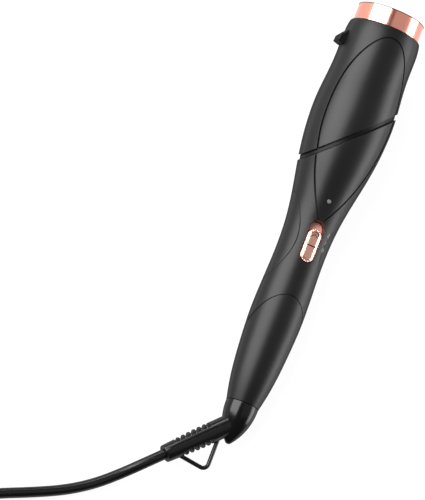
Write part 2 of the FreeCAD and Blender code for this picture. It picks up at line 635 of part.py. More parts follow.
def switch():
    """The switch's bezel, slider, contact block and board."""
    rest = "switch_depth + bezel_length / 2 - bezel_wall - switch_play - slider_length / 2"
    floor = "bezel_seat + bezel_floor"
    bezel = common("BezelBlank", outside,
                   stadium("BezelStadium", "bezel_width", "bezel_length", "bezel_seat", "40"))
    pocket = stadium("BezelPocket", "bezel_width - 2 * bezel_wall",
                     "bezel_length - 2 * bezel_wall", floor, "40")
    slot = box("StemSlot", ("-stem_width / 2 - switch_play", "stem_width / 2 + switch_play"),
               ("-(%s) - stem_length / 2 - switch_play" % rest,
                "-(%s) + stem_length / 2 + switch_travel + switch_play" % rest),
               ("0", "20"))
    node("switch_bezel", cut("SwitchBezel", bezel, pocket, slot))
    width = "bezel_width - 2 * bezel_wall - 2 * switch_play"
    top = "waist_radius + slider_proud"
    slab_low = floor + " + 0.1"
    blank = stadium("SliderBlank", width, "slider_length", slab_low, "40", "(%s)" % rest)
    crown = rod("SliderCrown", top, "60", y="-(%s) - 30" % rest)
    valley = rod("SliderValley", top + " - slider_groove", "60", y="-(%s) - 30" % rest)
    groove = cut("SliderGroove",
                 stadium("GrooveOut", width + " - 2 * slider_rim",
                         "slider_length - 2 * slider_rim", slab_low, "40", "(%s)" % rest),
                 stadium("GrooveIn", width + " - 3 * slider_rim",
                         "slider_length - 3 * slider_rim", slab_low, "40", "(%s)" % rest))
    cross = box("SliderCross", ("-(%s) / 2 + slider_rim" % width, "(%s) / 2 - slider_rim" % width),
                ("-(%s) - slider_rim / 4" % rest, "-(%s) + slider_rim / 4" % rest),
                (slab_low, "40"))
    pad = rounded("SliderPad", common("SliderPad", blank, crown), "slider_round",
                  lambda edge: edge.BoundBox.ZMin > value(top) * 0.93)
    marks = cut("SliderMarks", fuse("SliderMarks", groove, cross), valley)
    stem = box("SliderStem", ("-stem_width / 2", "stem_width / 2"),
               ("-(%s) - stem_length / 2" % rest, "-(%s) + stem_length / 2" % rest),
               ("bezel_seat - stem_depth", slab_low + " + 0.5"))
    node("switch_slider", fuse("SwitchSlider", cut("SliderTop", pad, marks), stem))
    seat = "bezel_seat - 0.05"
    block = box("ContactBlock", ("-contact_width / 2", "contact_width / 2"),
                ("-switch_depth - contact_length / 2", "-switch_depth + contact_length / 2"),
                (seat + " - contact_height", seat))
    well = box("ContactWell", ("-stem_width / 2 - switch_play", "stem_width / 2 + switch_play"),
               ("-(%s) - stem_length / 2 - switch_play" % rest,
                "-(%s) + stem_length / 2 + switch_travel + switch_play" % rest),
               ("bezel_seat - stem_depth - switch_play", "20"))
    node("slide_switch", cut("SlideSwitch", block, well))
    under = seat + " - contact_height"
    node("switch_board", box("SwitchBoard", ("-board_half_width", "board_half_width"),
                             ("-switch_depth - board_length / 2",
                              "-switch_depth + board_length / 2"),
                             (under + " - board_thickness", under)))


def lamp_and_ioniser():
    """The ion generator behind the panel and the lamp's light guide on top of it."""
    node("ion_module", box("IonModule", ("-ion_half_width", "ion_half_width"),
                           ("-ion_depth - ion_length", "-ion_depth"),
                           ("ion_top - ion_height", "ion_top")))
    guide = screw_hole("LampGuide", "lamp_depth", "lamp_radius", "ion_top", "40")
    node("indicator_lens", common("IndicatorLens", guide, outside))


def fan():
    """The fan's housing with its motor cup, the motor, the shaft and the impeller."""
    low = "fan_depth + duct_length"
    bore = "duct_radius - duct_wall"
    duct = cut("Duct", rod("DuctOut", "duct_radius", "duct_length", y="-(%s)" % low),
               rod("DuctIn", bore, "duct_length", y="-(%s)" % low))
    cup_top = "-(%s) + 4" % low
    cup = cut("Cup", rod("CupOut", "motor_radius + 0.05 + motor_cup", "motor_cup_length",
                         y=cup_top + " - motor_cup_length"),
              rod("CupIn", "motor_radius + 0.05", "motor_cup_length - 1",
                  y=cup_top + " - motor_cup_length"),
              rod("CupHole", "hub_radius", "50", y=cup_top + " - 25"))
    vanes = []
    for number in range(VANES):
        vane = doc.addObject("Part::Box", "Vane%d" % number)
        bind(vane, Length=bore + " - motor_radius - motor_cup + 0.6",
             Width="4", Height="vane_thickness")
        spin = Rotation(Vector(0, 1, 0), 360.0 * number / VANES)
        start = spin.multVec(Vector(value("motor_radius + motor_cup - 0.3"), 0,
                                    -value("vane_thickness") / 2))
        vane.Placement = Placement(start + Vector(0, -value(low), 0), spin)
        vanes.append(vane)
    node("fan_housing", fuse("FanHousing", duct, cup, *vanes))
    motor_top = cup_top + " - 1"
    motor = cut("FanMotor", rod("MotorCan", "motor_radius", "motor_length",
                                y=motor_top + " - motor_length"),
                rod("MotorBore", "shaft_radius + 0.05", "30", y=motor_top + " - 18"))
    node("fan_motor", motor)
    impeller_low = "-fan_depth - 1 - impeller_length"
    node("fan_shaft", rod("FanShaft", "shaft_radius", "shaft_length",
                          y=impeller_low + " + impeller_length - shaft_length"))
    hub = rod("Hub", "hub_radius - 0.4", "impeller_length", y=impeller_low)
    blades = []
    for number in range(BLADES):
        blade = doc.addObject("Part::Box", "Blade%d" % number)
        bind(blade, Length="impeller_radius", Width="impeller_length * 1.6",
             Height="blade_thickness")
        pitch = Rotation(Vector(1, 0, 0), value("blade_pitch"))
        spin = Rotation(Vector(0, 1, 0), 360.0 * number / BLADES)
        turn = spin.multiply(pitch)
        offset = Vector(2, -value("impeller_length * 0.8"), -value("blade_thickness") / 2)
        middle = Vector(0, value(impeller_low + " + impeller_length / 2"), 0)
        blade.Placement = Placement(middle + turn.multVec(offset), turn)
        blades.append(blade)
    sweep = common("Blades", fuse("BladeRing", *blades),
                   rod("BladeSweep", "impeller_radius", "impeller_length", y=impeller_low))
    bore = rod("HubBore", "shaft_radius", "40", y=impeller_low + " - 20")
    node("impeller", cut("Impeller", fuse("Impeller", hub, sweep), bore))


def intake():
    """The air-intake cover with its slots behind, and the filter that lines them."""
    region = arch("ArchNarrow", "-arch_seam")
    sleeve = cut("CoverTube", common("CoverSolid", outside, region), inside)
    floor = common("CoverFloor", outside,
                   box("FloorBlock", ("-60", "60"), ("-foot_depth", "-foot_depth + foot_wall"),
                       ("-60", "60")))
    slots = []
    for number in range(SLOTS):
        slot = doc.addObject("Part::Box", "Slot%d" % number)
        bind(slot, Length="slot_width", Width="slot_length", Height="20")
        spin = Rotation(Vector(0, 1, 0), 180 + (number - (SLOTS - 1) / 2) * value("slot_spread"))
        start = spin.multVec(Vector(-value("slot_width") / 2, 0, 8))
        slot.Placement = Placement(start + Vector(0, -value("slot_depth + slot_length"), 0), spin)
        slots.append(slot)
    bore = rod("FloorBore", "neck_radius + 0.05", "20", y="-foot_depth - 10")
    node("intake_cover", cut("IntakeCover", fuse("IntakeCover", sleeve, floor), bore,
                             fuse("Slots", *slots)))
    mesh = common("FilterBlank", inside,
                  box("FilterBlock", ("-60", "60"), ("-slot_depth - slot_length - 2",
                                                     "-slot_depth + 2"), ("-60", "-2")))
    node("intake_filter", cut("IntakeFilter", mesh, lined))


# ---------------------------------------------------------------- cord outlet
def relief_place(along="0"):
    """Return the place at the relief's axis, local Z away from the styler."""
    lean = math.radians(value("relief_angle"))
    away = Vector(-math.sin(lean), -math.cos(lean), 0)
    root = Vector(0, -value("relief_depth"), 0)
    front = Vector(0, 0, 1)
    turn = Rotation(front, away.cross(front), away, "ZXY")
    return Placement(root + away * value(along), turn)


def cord_outlet():
    """The turning end cap with its neck and clip, the ribbed relief and the loop."""
    top = "-foot_depth - cap_gap"
    clip_high = "-foot_depth + foot_wall + seat_gap + neck_clip"
    clip_low = "-foot_depth + foot_wall + seat_gap"
    cap = turned("CapBlank", [
        ("0", top + " - cap_length"), ("cap_nose", top + " - cap_length + cap_tip"),
        ("cap_radius", top), ("neck_radius", top), ("neck_radius", clip_low),
        ("neck_radius - neck_groove", clip_low), ("neck_radius - neck_groove", clip_high),
        ("neck_radius", clip_high), ("neck_radius", clip_high + " + neck_clip"),
        ("0", clip_high + " + neck_clip")], {0: ("cap_nose * 1.3", -1), 1: ("cap_arc", -1)})
    cap.Placement = Placement(Vector(), AXIAL)
    socket = doc.addObject("Part::Cylinder", "ReliefSocket")
    bind(socket, Radius="relief_root_radius + 0.02", Height="60")
    socket.Placement = relief_place("relief_root")
    node("swivel_cap", cut("SwivelCap", cap, socket))
    clip = cut("SwivelClip", rod("ClipDisc", "neck_radius * 1.5", "neck_clip", y=clip_low),
               rod("ClipBore", "neck_radius - neck_groove", "neck_clip", y=clip_low))
    node("swivel_clip", clip)
    boot, blank = strain_relief()
    node("strain_relief", boot)
    node("hanging_loop", hanging_loop(cap, blank))


def relief_slab(name, sides, levels):
    """Return a slab through the relief, front to back, between two sides and two levels."""
    block = doc.addObject("Part::Box", name)
    bind(block, Length="4 * relief_root_radius", Width="(%s) - (%s)" % (sides[1], sides[0]),
         Height="(%s) - (%s)" % (levels[1], levels[0]))
    corner = Vector(-value("2 * relief_root_radius"), value(sides[0]), value(levels[0]))
    block.Placement = relief_place().multiply(Placement(corner, Rotation()))
    return block


def strain_relief():
    """Return the tapered boot, slotted in turn from its two sides, and its blank."""
    blank = turned("ReliefBlank", [
        ("0", "relief_root"), ("relief_root_radius - relief_edge", "relief_root"),
        ("relief_root_radius", "relief_root + relief_edge"),
        ("relief_root_radius", "relief_length - relief_taper"),
        ("relief_end_radius", "relief_length - relief_edge"),
        ("relief_end_radius - relief_edge", "relief_length"), ("0", "relief_length")])
    blank.Placement = relief_place()
    slots = []
    for number in range(RELIEF_SLOTS):
        level = "rib_start + %d * rib_pitch" % number
        slots.append(relief_slab("OuterSlot%d" % number, ("rib_spine / 2", "2 * relief_root_radius"),
                                 (level, level + " + rib_gap")))
    for number in range(RELIEF_SLOTS - 1):
        level = "rib_start + %.1f * rib_pitch" % (number + 0.5)
        slots.append(relief_slab("InnerSlot%d" % number,
                                 ("-2 * relief_root_radius", "-rib_spine / 2"),
                                 (level, level + " + rib_gap")))
    core = turned("SeamCore", [
        ("0", "0"), ("relief_root_radius - seam_depth", "0"),
        ("relief_root_radius - seam_depth", "relief_length - relief_taper"),
        ("relief_end_radius - seam_depth", "relief_length"), ("0", "relief_length")])
    core.Placement = relief_place()
    line = relief_slab("SeamLine", ("seam_side - seam_width / 2", "seam_side + seam_width / 2"),
                       ("rib_start - seam_margin", "relief_length - seam_margin"))
    return cut("StrainRelief", blank, cut("SeamGroove", line, core), *slots), blank


def hanging_loop(cap, relief):
    """Return the wire loop from the cap's tip to the relief's end, for a hook."""
    start = Vector(-7.0, -301.0, 0)
    corner = Vector(-6.9, -327.7, 0)
    end = Vector(-27.2, -325.9, 0)
    arc, lines = rounded_path([start, corner, end], [value("loop_corner")])
    wire = Part.Wire([edge for pair in zip(lines, arc + [None]) for edge in pair if edge])
    spine = doc.addObject("Part::Feature", "LoopPath")
    spine.Shape = wire
    section = doc.addObject("Part::Circle", "LoopSection")
    bind(section, Radius="loop_wire")
    section.Placement = Placement(start, Rotation(Vector(0, 0, 1), corner - start))
    sweep = doc.addObject("Part::Sweep", "LoopSweep")
    sweep.Sections = [section]
    sweep.Spine = (spine, [])
    sweep.Solid = True
    return cut("HangingLoop", sweep, cap, relief)


# ---------------------------------------------------------------- cord
def rounded_path(points, radii):
    """Return the arcs at the inner points and the runs between them."""
    arcs = []
    lines = []
    last = points[0]
    for before, point, after, radius in zip(points, points[1:], points[2:], radii):
        back = (before - point).normalize()
        ahead = (after - point).normalize()
        half = math.acos(max(-1.0, min(1.0, back.dot(ahead)))) / 2
        reach = radius / math.tan(half)
        enter = point + back * reach
        leave = point + ahead * reach
        inward = (back + ahead).normalize()
        middle = point + inward * (radius / math.sin(half) - radius)
        lines.append(Part.LineSegment(last, enter).toShape())
        arcs.append(Part.Arc(enter, middle, leave).toShape())
        last = leave
    lines.append(Part.LineSegment(last, points[-1]).toShape())
    return arcs, lines


def bend_radii(points):
    """Return the radius of each bend: as large as its two runs allow."""
    radii = []
    for before, point, after in zip(points, points[1:], points[2:]):
        first = point - before
        second = after - point
        turn = first.getAngle(second)
        shorter = min(first.Length, second.Length)
        radii.append(0.45 * shorter / math.tan(turn / 2))
    return radii


head_shells()
outlet()
heater()
latch()
head_collar()
handle_collar()
handle_shells()
switch()
lamp_and_ioniser()
fan()
intake()
cord_outlet()
doc.recompute()


# ---------------------------------------------------------------- lying on the table
def resting_slope():
    """Return the slope, as a ratio, of a flat surface that touches both of its swells."""
    skin_points = [(-point.y, math.hypot(point.x, point.z))
                   for point in outside.Shape.tessellate(0.05)[0]]
    divide = value("(bulge_depth + palm_depth) / 2")
    head_points = [point for point in skin_points if point[0] < divide]
    palm_points = [point for point in skin_points if point[0] >= divide]
    slope = 0.0
    for _ in range(8):
        high = max(head_points, key=lambda point: point[1] + slope * point[0])
        low = max(palm_points, key=lambda point: point[1] + slope * point[0])
        slope = (high[1] - low[1]) / (low[0] - high[0])
    return slope


def resting_place():
    """Return the place that lays the styler on its back, centred over the origin.

    It rests on the head's bulge and on the palm swell, so its axis slopes a little.
    """
    slope = math.degrees(math.atan(resting_slope()))
    tilt = Placement(Vector(), Rotation(Vector(1, 0, 0), slope))
    extent = FreeCAD.BoundBox()
    for thing in nodes.values():
        tilted = thing.Shape.copy()
        tilted.Placement = tilt.multiply(tilted.Placement)
        for corner in tilted.tessellate(0.05)[0]:
            extent.add(corner)
    centred = Vector(-extent.Center.x, -extent.Center.y, -extent.ZMin)
    return Placement(centred, Rotation()).multiply(tilt)


# ---------------------------------------------------------------- cord on the table
# The cord's route over the table, laid by hand: from the relief to the coil.
LEAD = [(-40.4, -173.8, 9.6), (-51.5, -185.4, 5.4), (-65.0, -198.2, 3.5), (-82.0, -210.4, 3.5),
        (-103.0, -221.4, 3.5), (-125.0, -231.7, 3.5), (-144.3, -242.3, 3.5),
        (-161.9, -255.5, 3.5)]
# From the coil's top turn to the plug.
TAIL = [(-151.6, -331.6, 17.5), (-139.0, -337.4, 17.5), (-124.0, -342.6, 17.0),
        (-109.0, -346.2, 13.6)]
COIL_CENTRE = Vector(-133.7, -293.1, 0)
PLUG_HEEL = Vector(-97.0, -348.6, 12.2)
PLUG_TURN = -11.0
TIE_TURN = 20.0


def cord_tube(name, points, *neighbours):
    """Return a tube of straight runs and wide bends, less what it meets."""
    radii = bend_radii(points)
    arcs, lines = rounded_path(points, radii)
    edges = [edge for pair in zip(lines, arcs + [None]) for edge in pair if edge]
    spine = doc.addObject("Part::Feature", name + "_path")
    spine.Shape = Part.Wire(edges)
    section = doc.addObject("Part::Circle", name + "_section")
    bind(section, Radius="cord_radius")
    section.Placement = Placement(points[0], Rotation(Vector(0, 0, 1), points[1] - points[0]))
    tube = doc.addObject("Part::Sweep", name + "_tube")
    tube.Sections = [section]
    tube.Spine = (spine, [])
    tube.Solid = True
    doc.recompute([tube])
    length = spine.Shape.Length
    filled = math.pi * value("cord_radius") ** 2 * length
    print("%s: bend radii %s mm, length %.1f mm, volume %.0f of %.0f mm3" % (
        name, [round(radius, 1) for radius in radii], length, tube.Shape.Volume, filled))
    return cut(name, tube, *neighbours) if neighbours else tube


def cord(place):
    """The free cord: its visible lead, its stored coil, the tie, the tail and the plug."""
    radius = "cord_radius"
    inner, outer = "coil_radius - coil_half_width", "coil_radius + coil_half_width"
    crest = "coil_height + 2 * cord_radius"
    ring = turned("CoilRing", [
        (inner + " + " + radius, "0"), (outer + " - " + radius, "0"), (outer, radius),
        (outer, "coil_height - " + radius), (outer + " - " + radius, "coil_height"),
        ("coil_radius + " + radius, "coil_height"),
        ("coil_radius + " + radius, "coil_height + " + radius), ("coil_radius", crest),
        ("coil_radius - " + radius, "coil_height + " + radius),
        ("coil_radius - " + radius, "coil_height"), (inner + " + " + radius, "coil_height"),
        (inner, "coil_height - " + radius), (inner, radius)],
        {1: (radius, -1), 3: (radius, -1), 6: (radius, -1), 7: (radius, -1), 10: (radius, -1),
         12: (radius, -1)})
    ring.Placement = Placement(COIL_CENTRE, Rotation())
    band = doc.addObject("Part::Box", "TieOut")
    bind(band, Length="2 * coil_half_width + 2 * tie_thickness - 2 * tie_bite",
         Width="tie_width", Height=crest + " + tie_thickness - tie_bite")
    hole = doc.addObject("Part::Box", "TieIn")
    bind(hole, Length="2 * coil_half_width - 2 * tie_bite", Width="tie_width + 2",
         Height=crest + " - tie_thickness - tie_bite")
    spin = Rotation(Vector(0, 0, 1), TIE_TURN)
    for block, start in (
            (band, Vector(value(inner + " - tie_thickness + tie_bite"),
                          -value("tie_width / 2"), 0)),
            (hole, Vector(value(inner + " + tie_bite"), -value("tie_width / 2 + 1"),
                          value("tie_thickness")))):
        block.Placement = Placement(COIL_CENTRE + spin.multVec(start), spin)
    tie = node("cord_tie", cut("CordTie", band, hole))
    node("cord_coil", cut("CordCoil", ring, tie))
    outlet = place.multiply(relief_place("relief_length"))
    lead = [outlet.Base] + [Vector(*point) for point in LEAD]
    node("power_cord", cord_tube("PowerCord", lead, ring))
    tail = [Vector(*point) for point in TAIL] + [PLUG_HEEL]
    node("cord_tail", cord_tube("CordTail", tail, ring, plug()))


def plug_place(along="0", side="0"):
    """Return the place on the plug's axis, local Z along it, away from the cord."""
    turn = Rotation(Vector(0, 0, 1), PLUG_TURN)
    base = PLUG_HEEL + turn.multVec(Vector(value(along), value(side), 0))
    return Placement(base, turn.multiply(Rotation(Vector(0, 1, 0), 90)))


def plug():
    """The moulded two-pin plug with earth-clip grooves, and its pins. Return its blank."""
    heel = "(2 * cord_radius * 0.8)"
    total = "plug_nose + plug_length"
    sections = []
    for number, (along, high, wide) in enumerate((
            ("0", heel, heel), ("plug_nose * 0.4", heel + " + 0.8", heel + " + 1.6"),
            ("plug_nose", "plug_height / 2 - 0.6", "plug_width / 2 - 1"),
            (total + " - 8", "plug_height / 2", "plug_width / 2"),
            (total, "plug_height / 2 - 0.4", "plug_width / 2 - 0.4"))):
        outline = doc.addObject("Part::Ellipse", "PlugSection%d" % number)
        bind(outline, MajorRadius=wide if number else heel + " + 0.001", MinorRadius=high)
        quarter = Rotation(Vector(0, 0, 1), 90)
        outline.Placement = plug_place(along).multiply(Placement(Vector(), quarter))
        sections.append(outline)
    blank = doc.addObject("Part::Loft", "PlugBlank")
    blank.Sections = sections
    blank.Solid = True
    grooves = []
    for side in (-1, 1):
        groove = doc.addObject("Part::Box", "EarthGroove%d" % (side + 1))
        groove.Length = 6.0
        groove.Width = 5.0
        groove.Height = 14.0
        middle = "%d * (plug_width / 2 - 1)" % side
        offset = Placement(Vector(-3.0, -2.5 + 2.5 * side, -10.0), Rotation())
        groove.Placement = plug_place(total, middle).multiply(offset)
        grooves.append(groove)
    node("plug_body", cut("PlugBody", blank, *grooves))
    pins = []
    for side in (-1, 1):
        place = plug_place(total, "%d * pin_spacing / 2" % side)
        shank = doc.addObject("Part::Cylinder", "PinShank%d" % (side + 1))
        bind(shank, Radius="pin_radius", Height="pin_length - 2")
        shank.Placement = place
        tip = doc.addObject("Part::Cone", "PinTip%d" % (side + 1))
        bind(tip, Radius1="pin_radius", Radius2="pin_radius - 1", Height="2")
        tip.Placement = place.multiply(
            Placement(Vector(0, 0, value("pin_length - 2")), Rotation()))
        pins.append(fuse("Pin%d" % (side + 1), shank, tip))
    pair = doc.addObject("Part::Compound", "PlugPins")
    pair.Links = pins
    node("plug_pins", pair)
    return blank


# ---------------------------------------------------------------- finishing
rest = resting_place()
drawn = list(nodes.values())
cord(rest)
for thing in drawn:
    place = rest.multiply(thing.Placement)
    for path, _ in list(thing.ExpressionEngine):
        if path.startswith(".Placement") or path.startswith("Placement"):
            thing.setExpression(path.lstrip("."), None)
    thing.Placement = place
doc.recompute()

for thing in doc.Objects:
    if "Invalid" in thing.State or "Error" in thing.State:
        raise RuntimeError("%s did not recompute: %s" % (thing.Name, thing.State))
os.makedirs("parts", exist_ok=True)
for name, thing in nodes.items():
    if thing.Shape.isNull() or not thing.Shape.isValid() or not thing.Shape.Solids:
        raise RuntimeError("%s has no valid solid" % name)
    thing.Shape.exportStep("parts/%s.step" % name)
    print("%-22s %d solid(s) %9.1f mm3" % (name, len(thing.Shape.Solids), thing.Shape.Volume))
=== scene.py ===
"""Looks of a hot-air hair styler with a twist head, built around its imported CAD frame.

The styler lies on its back on a pale table. Every object is in metres, in the frame of
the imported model, and each sub-assembly is a class that makes and dresses its own pieces.
"""

import logging
import math
from dataclasses import dataclass
from enum import Enum

import bmesh
import bpy
from mathutils import Matrix, Vector


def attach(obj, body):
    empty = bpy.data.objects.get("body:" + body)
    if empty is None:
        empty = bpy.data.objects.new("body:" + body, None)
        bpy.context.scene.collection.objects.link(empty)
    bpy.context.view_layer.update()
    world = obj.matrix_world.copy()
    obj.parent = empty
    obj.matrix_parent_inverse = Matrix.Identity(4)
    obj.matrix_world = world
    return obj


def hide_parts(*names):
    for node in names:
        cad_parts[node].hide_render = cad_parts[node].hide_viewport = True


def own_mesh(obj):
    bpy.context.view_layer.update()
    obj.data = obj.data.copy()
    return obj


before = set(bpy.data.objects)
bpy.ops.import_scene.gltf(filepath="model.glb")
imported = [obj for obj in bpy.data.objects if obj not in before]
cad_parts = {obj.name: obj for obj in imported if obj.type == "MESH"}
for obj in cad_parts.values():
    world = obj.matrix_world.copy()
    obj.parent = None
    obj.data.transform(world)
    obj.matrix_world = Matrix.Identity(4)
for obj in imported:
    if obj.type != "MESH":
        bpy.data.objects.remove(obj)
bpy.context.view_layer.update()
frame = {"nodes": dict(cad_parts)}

LOG = logging.getLogger("styler")
MM = 0.001
PICTURE = (425, 500)
Point = tuple[float, float, float]
Piece = bpy.types.Object
Tree = bpy.types.NodeTree
Socket = bpy.types.NodeSocket
Sizes = dict[str, float | int]
# A formula: for each sum its result's name, its kind and what goes in.
Steps = tuple[tuple[str | float, ...], ...]


# ---------------- small helpers
def linear(code: str) -> tuple[float, float, float, float]:
    """Turn an sRGB hex colour into linear RGBA.

    Args:
        code: six hex digits after a hash, such as "#C99788".

    Returns:
        Red, green, blue and an alpha of 1, each from 0 to 1.
    """
    channels = [int(code[start : start + 2], 16) / 255 for start in (1, 3, 5)]
    return (*(c / 12.92 if c <= 0.04045 else ((c + 0.055) / 1.055) ** 2.4 for c in channels), 1.0)


def add_node(
    tree: Tree,
    kind: str,
    settings: dict[str, object] | None = None,
    links: dict[str | int, object] | None = None,
) -> bpy.types.Node:
    """Add a node, set its properties, and link or fill its inputs.

    Args:
        tree: the shader or geometry tree that gets the node.
        kind: the node's type name.
        settings: property names and their values.
        links: input names or numbers, each with a socket to link or a plain value.

    Returns:
        The new node.
    """
    node = tree.nodes.new(kind)
    for key, setting in (settings or {}).items():
        setattr(node, key, setting)
    for key, given in (links or {}).items():
        if isinstance(given, Socket):
            tree.links.new(given, node.inputs[key])
        else:
            node.inputs[key].default_value = given
    return node


def empty_tree(owner: bpy.types.Material | bpy.types.World) -> Tree:
    """Give a material or a world a node tree with nothing in it."""
    owner.use_nodes = True
    owner.node_tree.nodes.clear()
    return owner.node_tree


def put_in_scene(name: str, data: bpy.types.ID) -> Piece:
    """Make an object for a mesh, curve, lamp or camera, and link it to the scene."""
    piece = bpy.data.objects.new(name, data)
    bpy.context.scene.collection.objects.link(piece)
    return piece


def axes_at(x: Vector, y: Vector, z: Vector, origin: Vector) -> Matrix:
    """Give the matrix that turns a piece's own axes to these, and moves it to a place."""
    return Matrix.Translation(origin) @ Matrix((x, y, z)).transposed().to_4x4()


def make_mesh(name: str, vertices: list, faces: list) -> Piece:
    """Make a mesh object at the origin, with its normals turned outwards.

    Args:
        name: the piece's name.
        vertices: its points, in metres.
        faces: its faces, as lists of point numbers.

    Returns:
        The object, linked to the scene.
    """
    mesh = bpy.data.meshes.new(name)
    mesh.from_pydata([tuple(v) for v in vertices], [], faces)
    shape = bmesh.new()
    shape.from_mesh(mesh)
    bmesh.ops.remove_doubles(shape, verts=shape.verts, dist=1e-7)
    bmesh.ops.recalc_face_normals(shape, faces=shape.faces)
    shape.to_mesh(mesh)
    shape.free()
    return put_in_scene(name, mesh)


def thick_line(name: str, kind: str, route: list[Point], radius: float, sides: int) -> Piece:
    """Make a curve with a round section and closed ends.

    Args:
        name: the piece's name.
        kind: the spline's type.
        route: its points, in millimetres.
        radius: the section's radius, in millimetres.
        sides: how finely the section is divided.

    Returns:
        The curve, linked to the scene.
    """
    data = bpy.data.curves.new(name, "CURVE")
    data.dimensions = "3D"
    spline = data.splines.new(kind)
    spline.points.add(len(route) - 1)
    for point, place in zip(spline.points, route):
        point.co = (*(value * MM for value in place), 1.0)
    data.bevel_depth = radius * MM
    data.bevel_resolution = sides
    data.use_fill_caps = True
    return put_in_scene(name, data)


def bake(piece: Piece) -> Piece:
    """Turn a mesh with live modifiers, a curve or a text into a plain mesh object.

    Args:
        piece: the object, which is taken away.

    Returns:
        A mesh object with the same name.
    """
    bpy.context.view_layer.update()
    graph = bpy.context.evaluated_depsgraph_get()
    mesh = bpy.data.meshes.new_from_object(piece.evaluated_get(graph), depsgraph=graph)
    name = piece.name
    bpy.data.objects.remove(piece)
    return put_in_scene(name, mesh)


# ---------------- finishes
class Pattern(Enum):
    """How a surface was made, which decides the detail that its material draws."""

    SPARK_GRAIN = "spark-eroded mould grain"
    POLISHED = "polished mould"
    PLATED = "plated over plastic"
    SATIN_METAL = "satin anodised metal"
    DRAWN = "drawn or rolled metal"
    FIBRE = "glass fibres under resin"
    FLAKED = "pressed flakes"
    WOVEN = "plain weave"


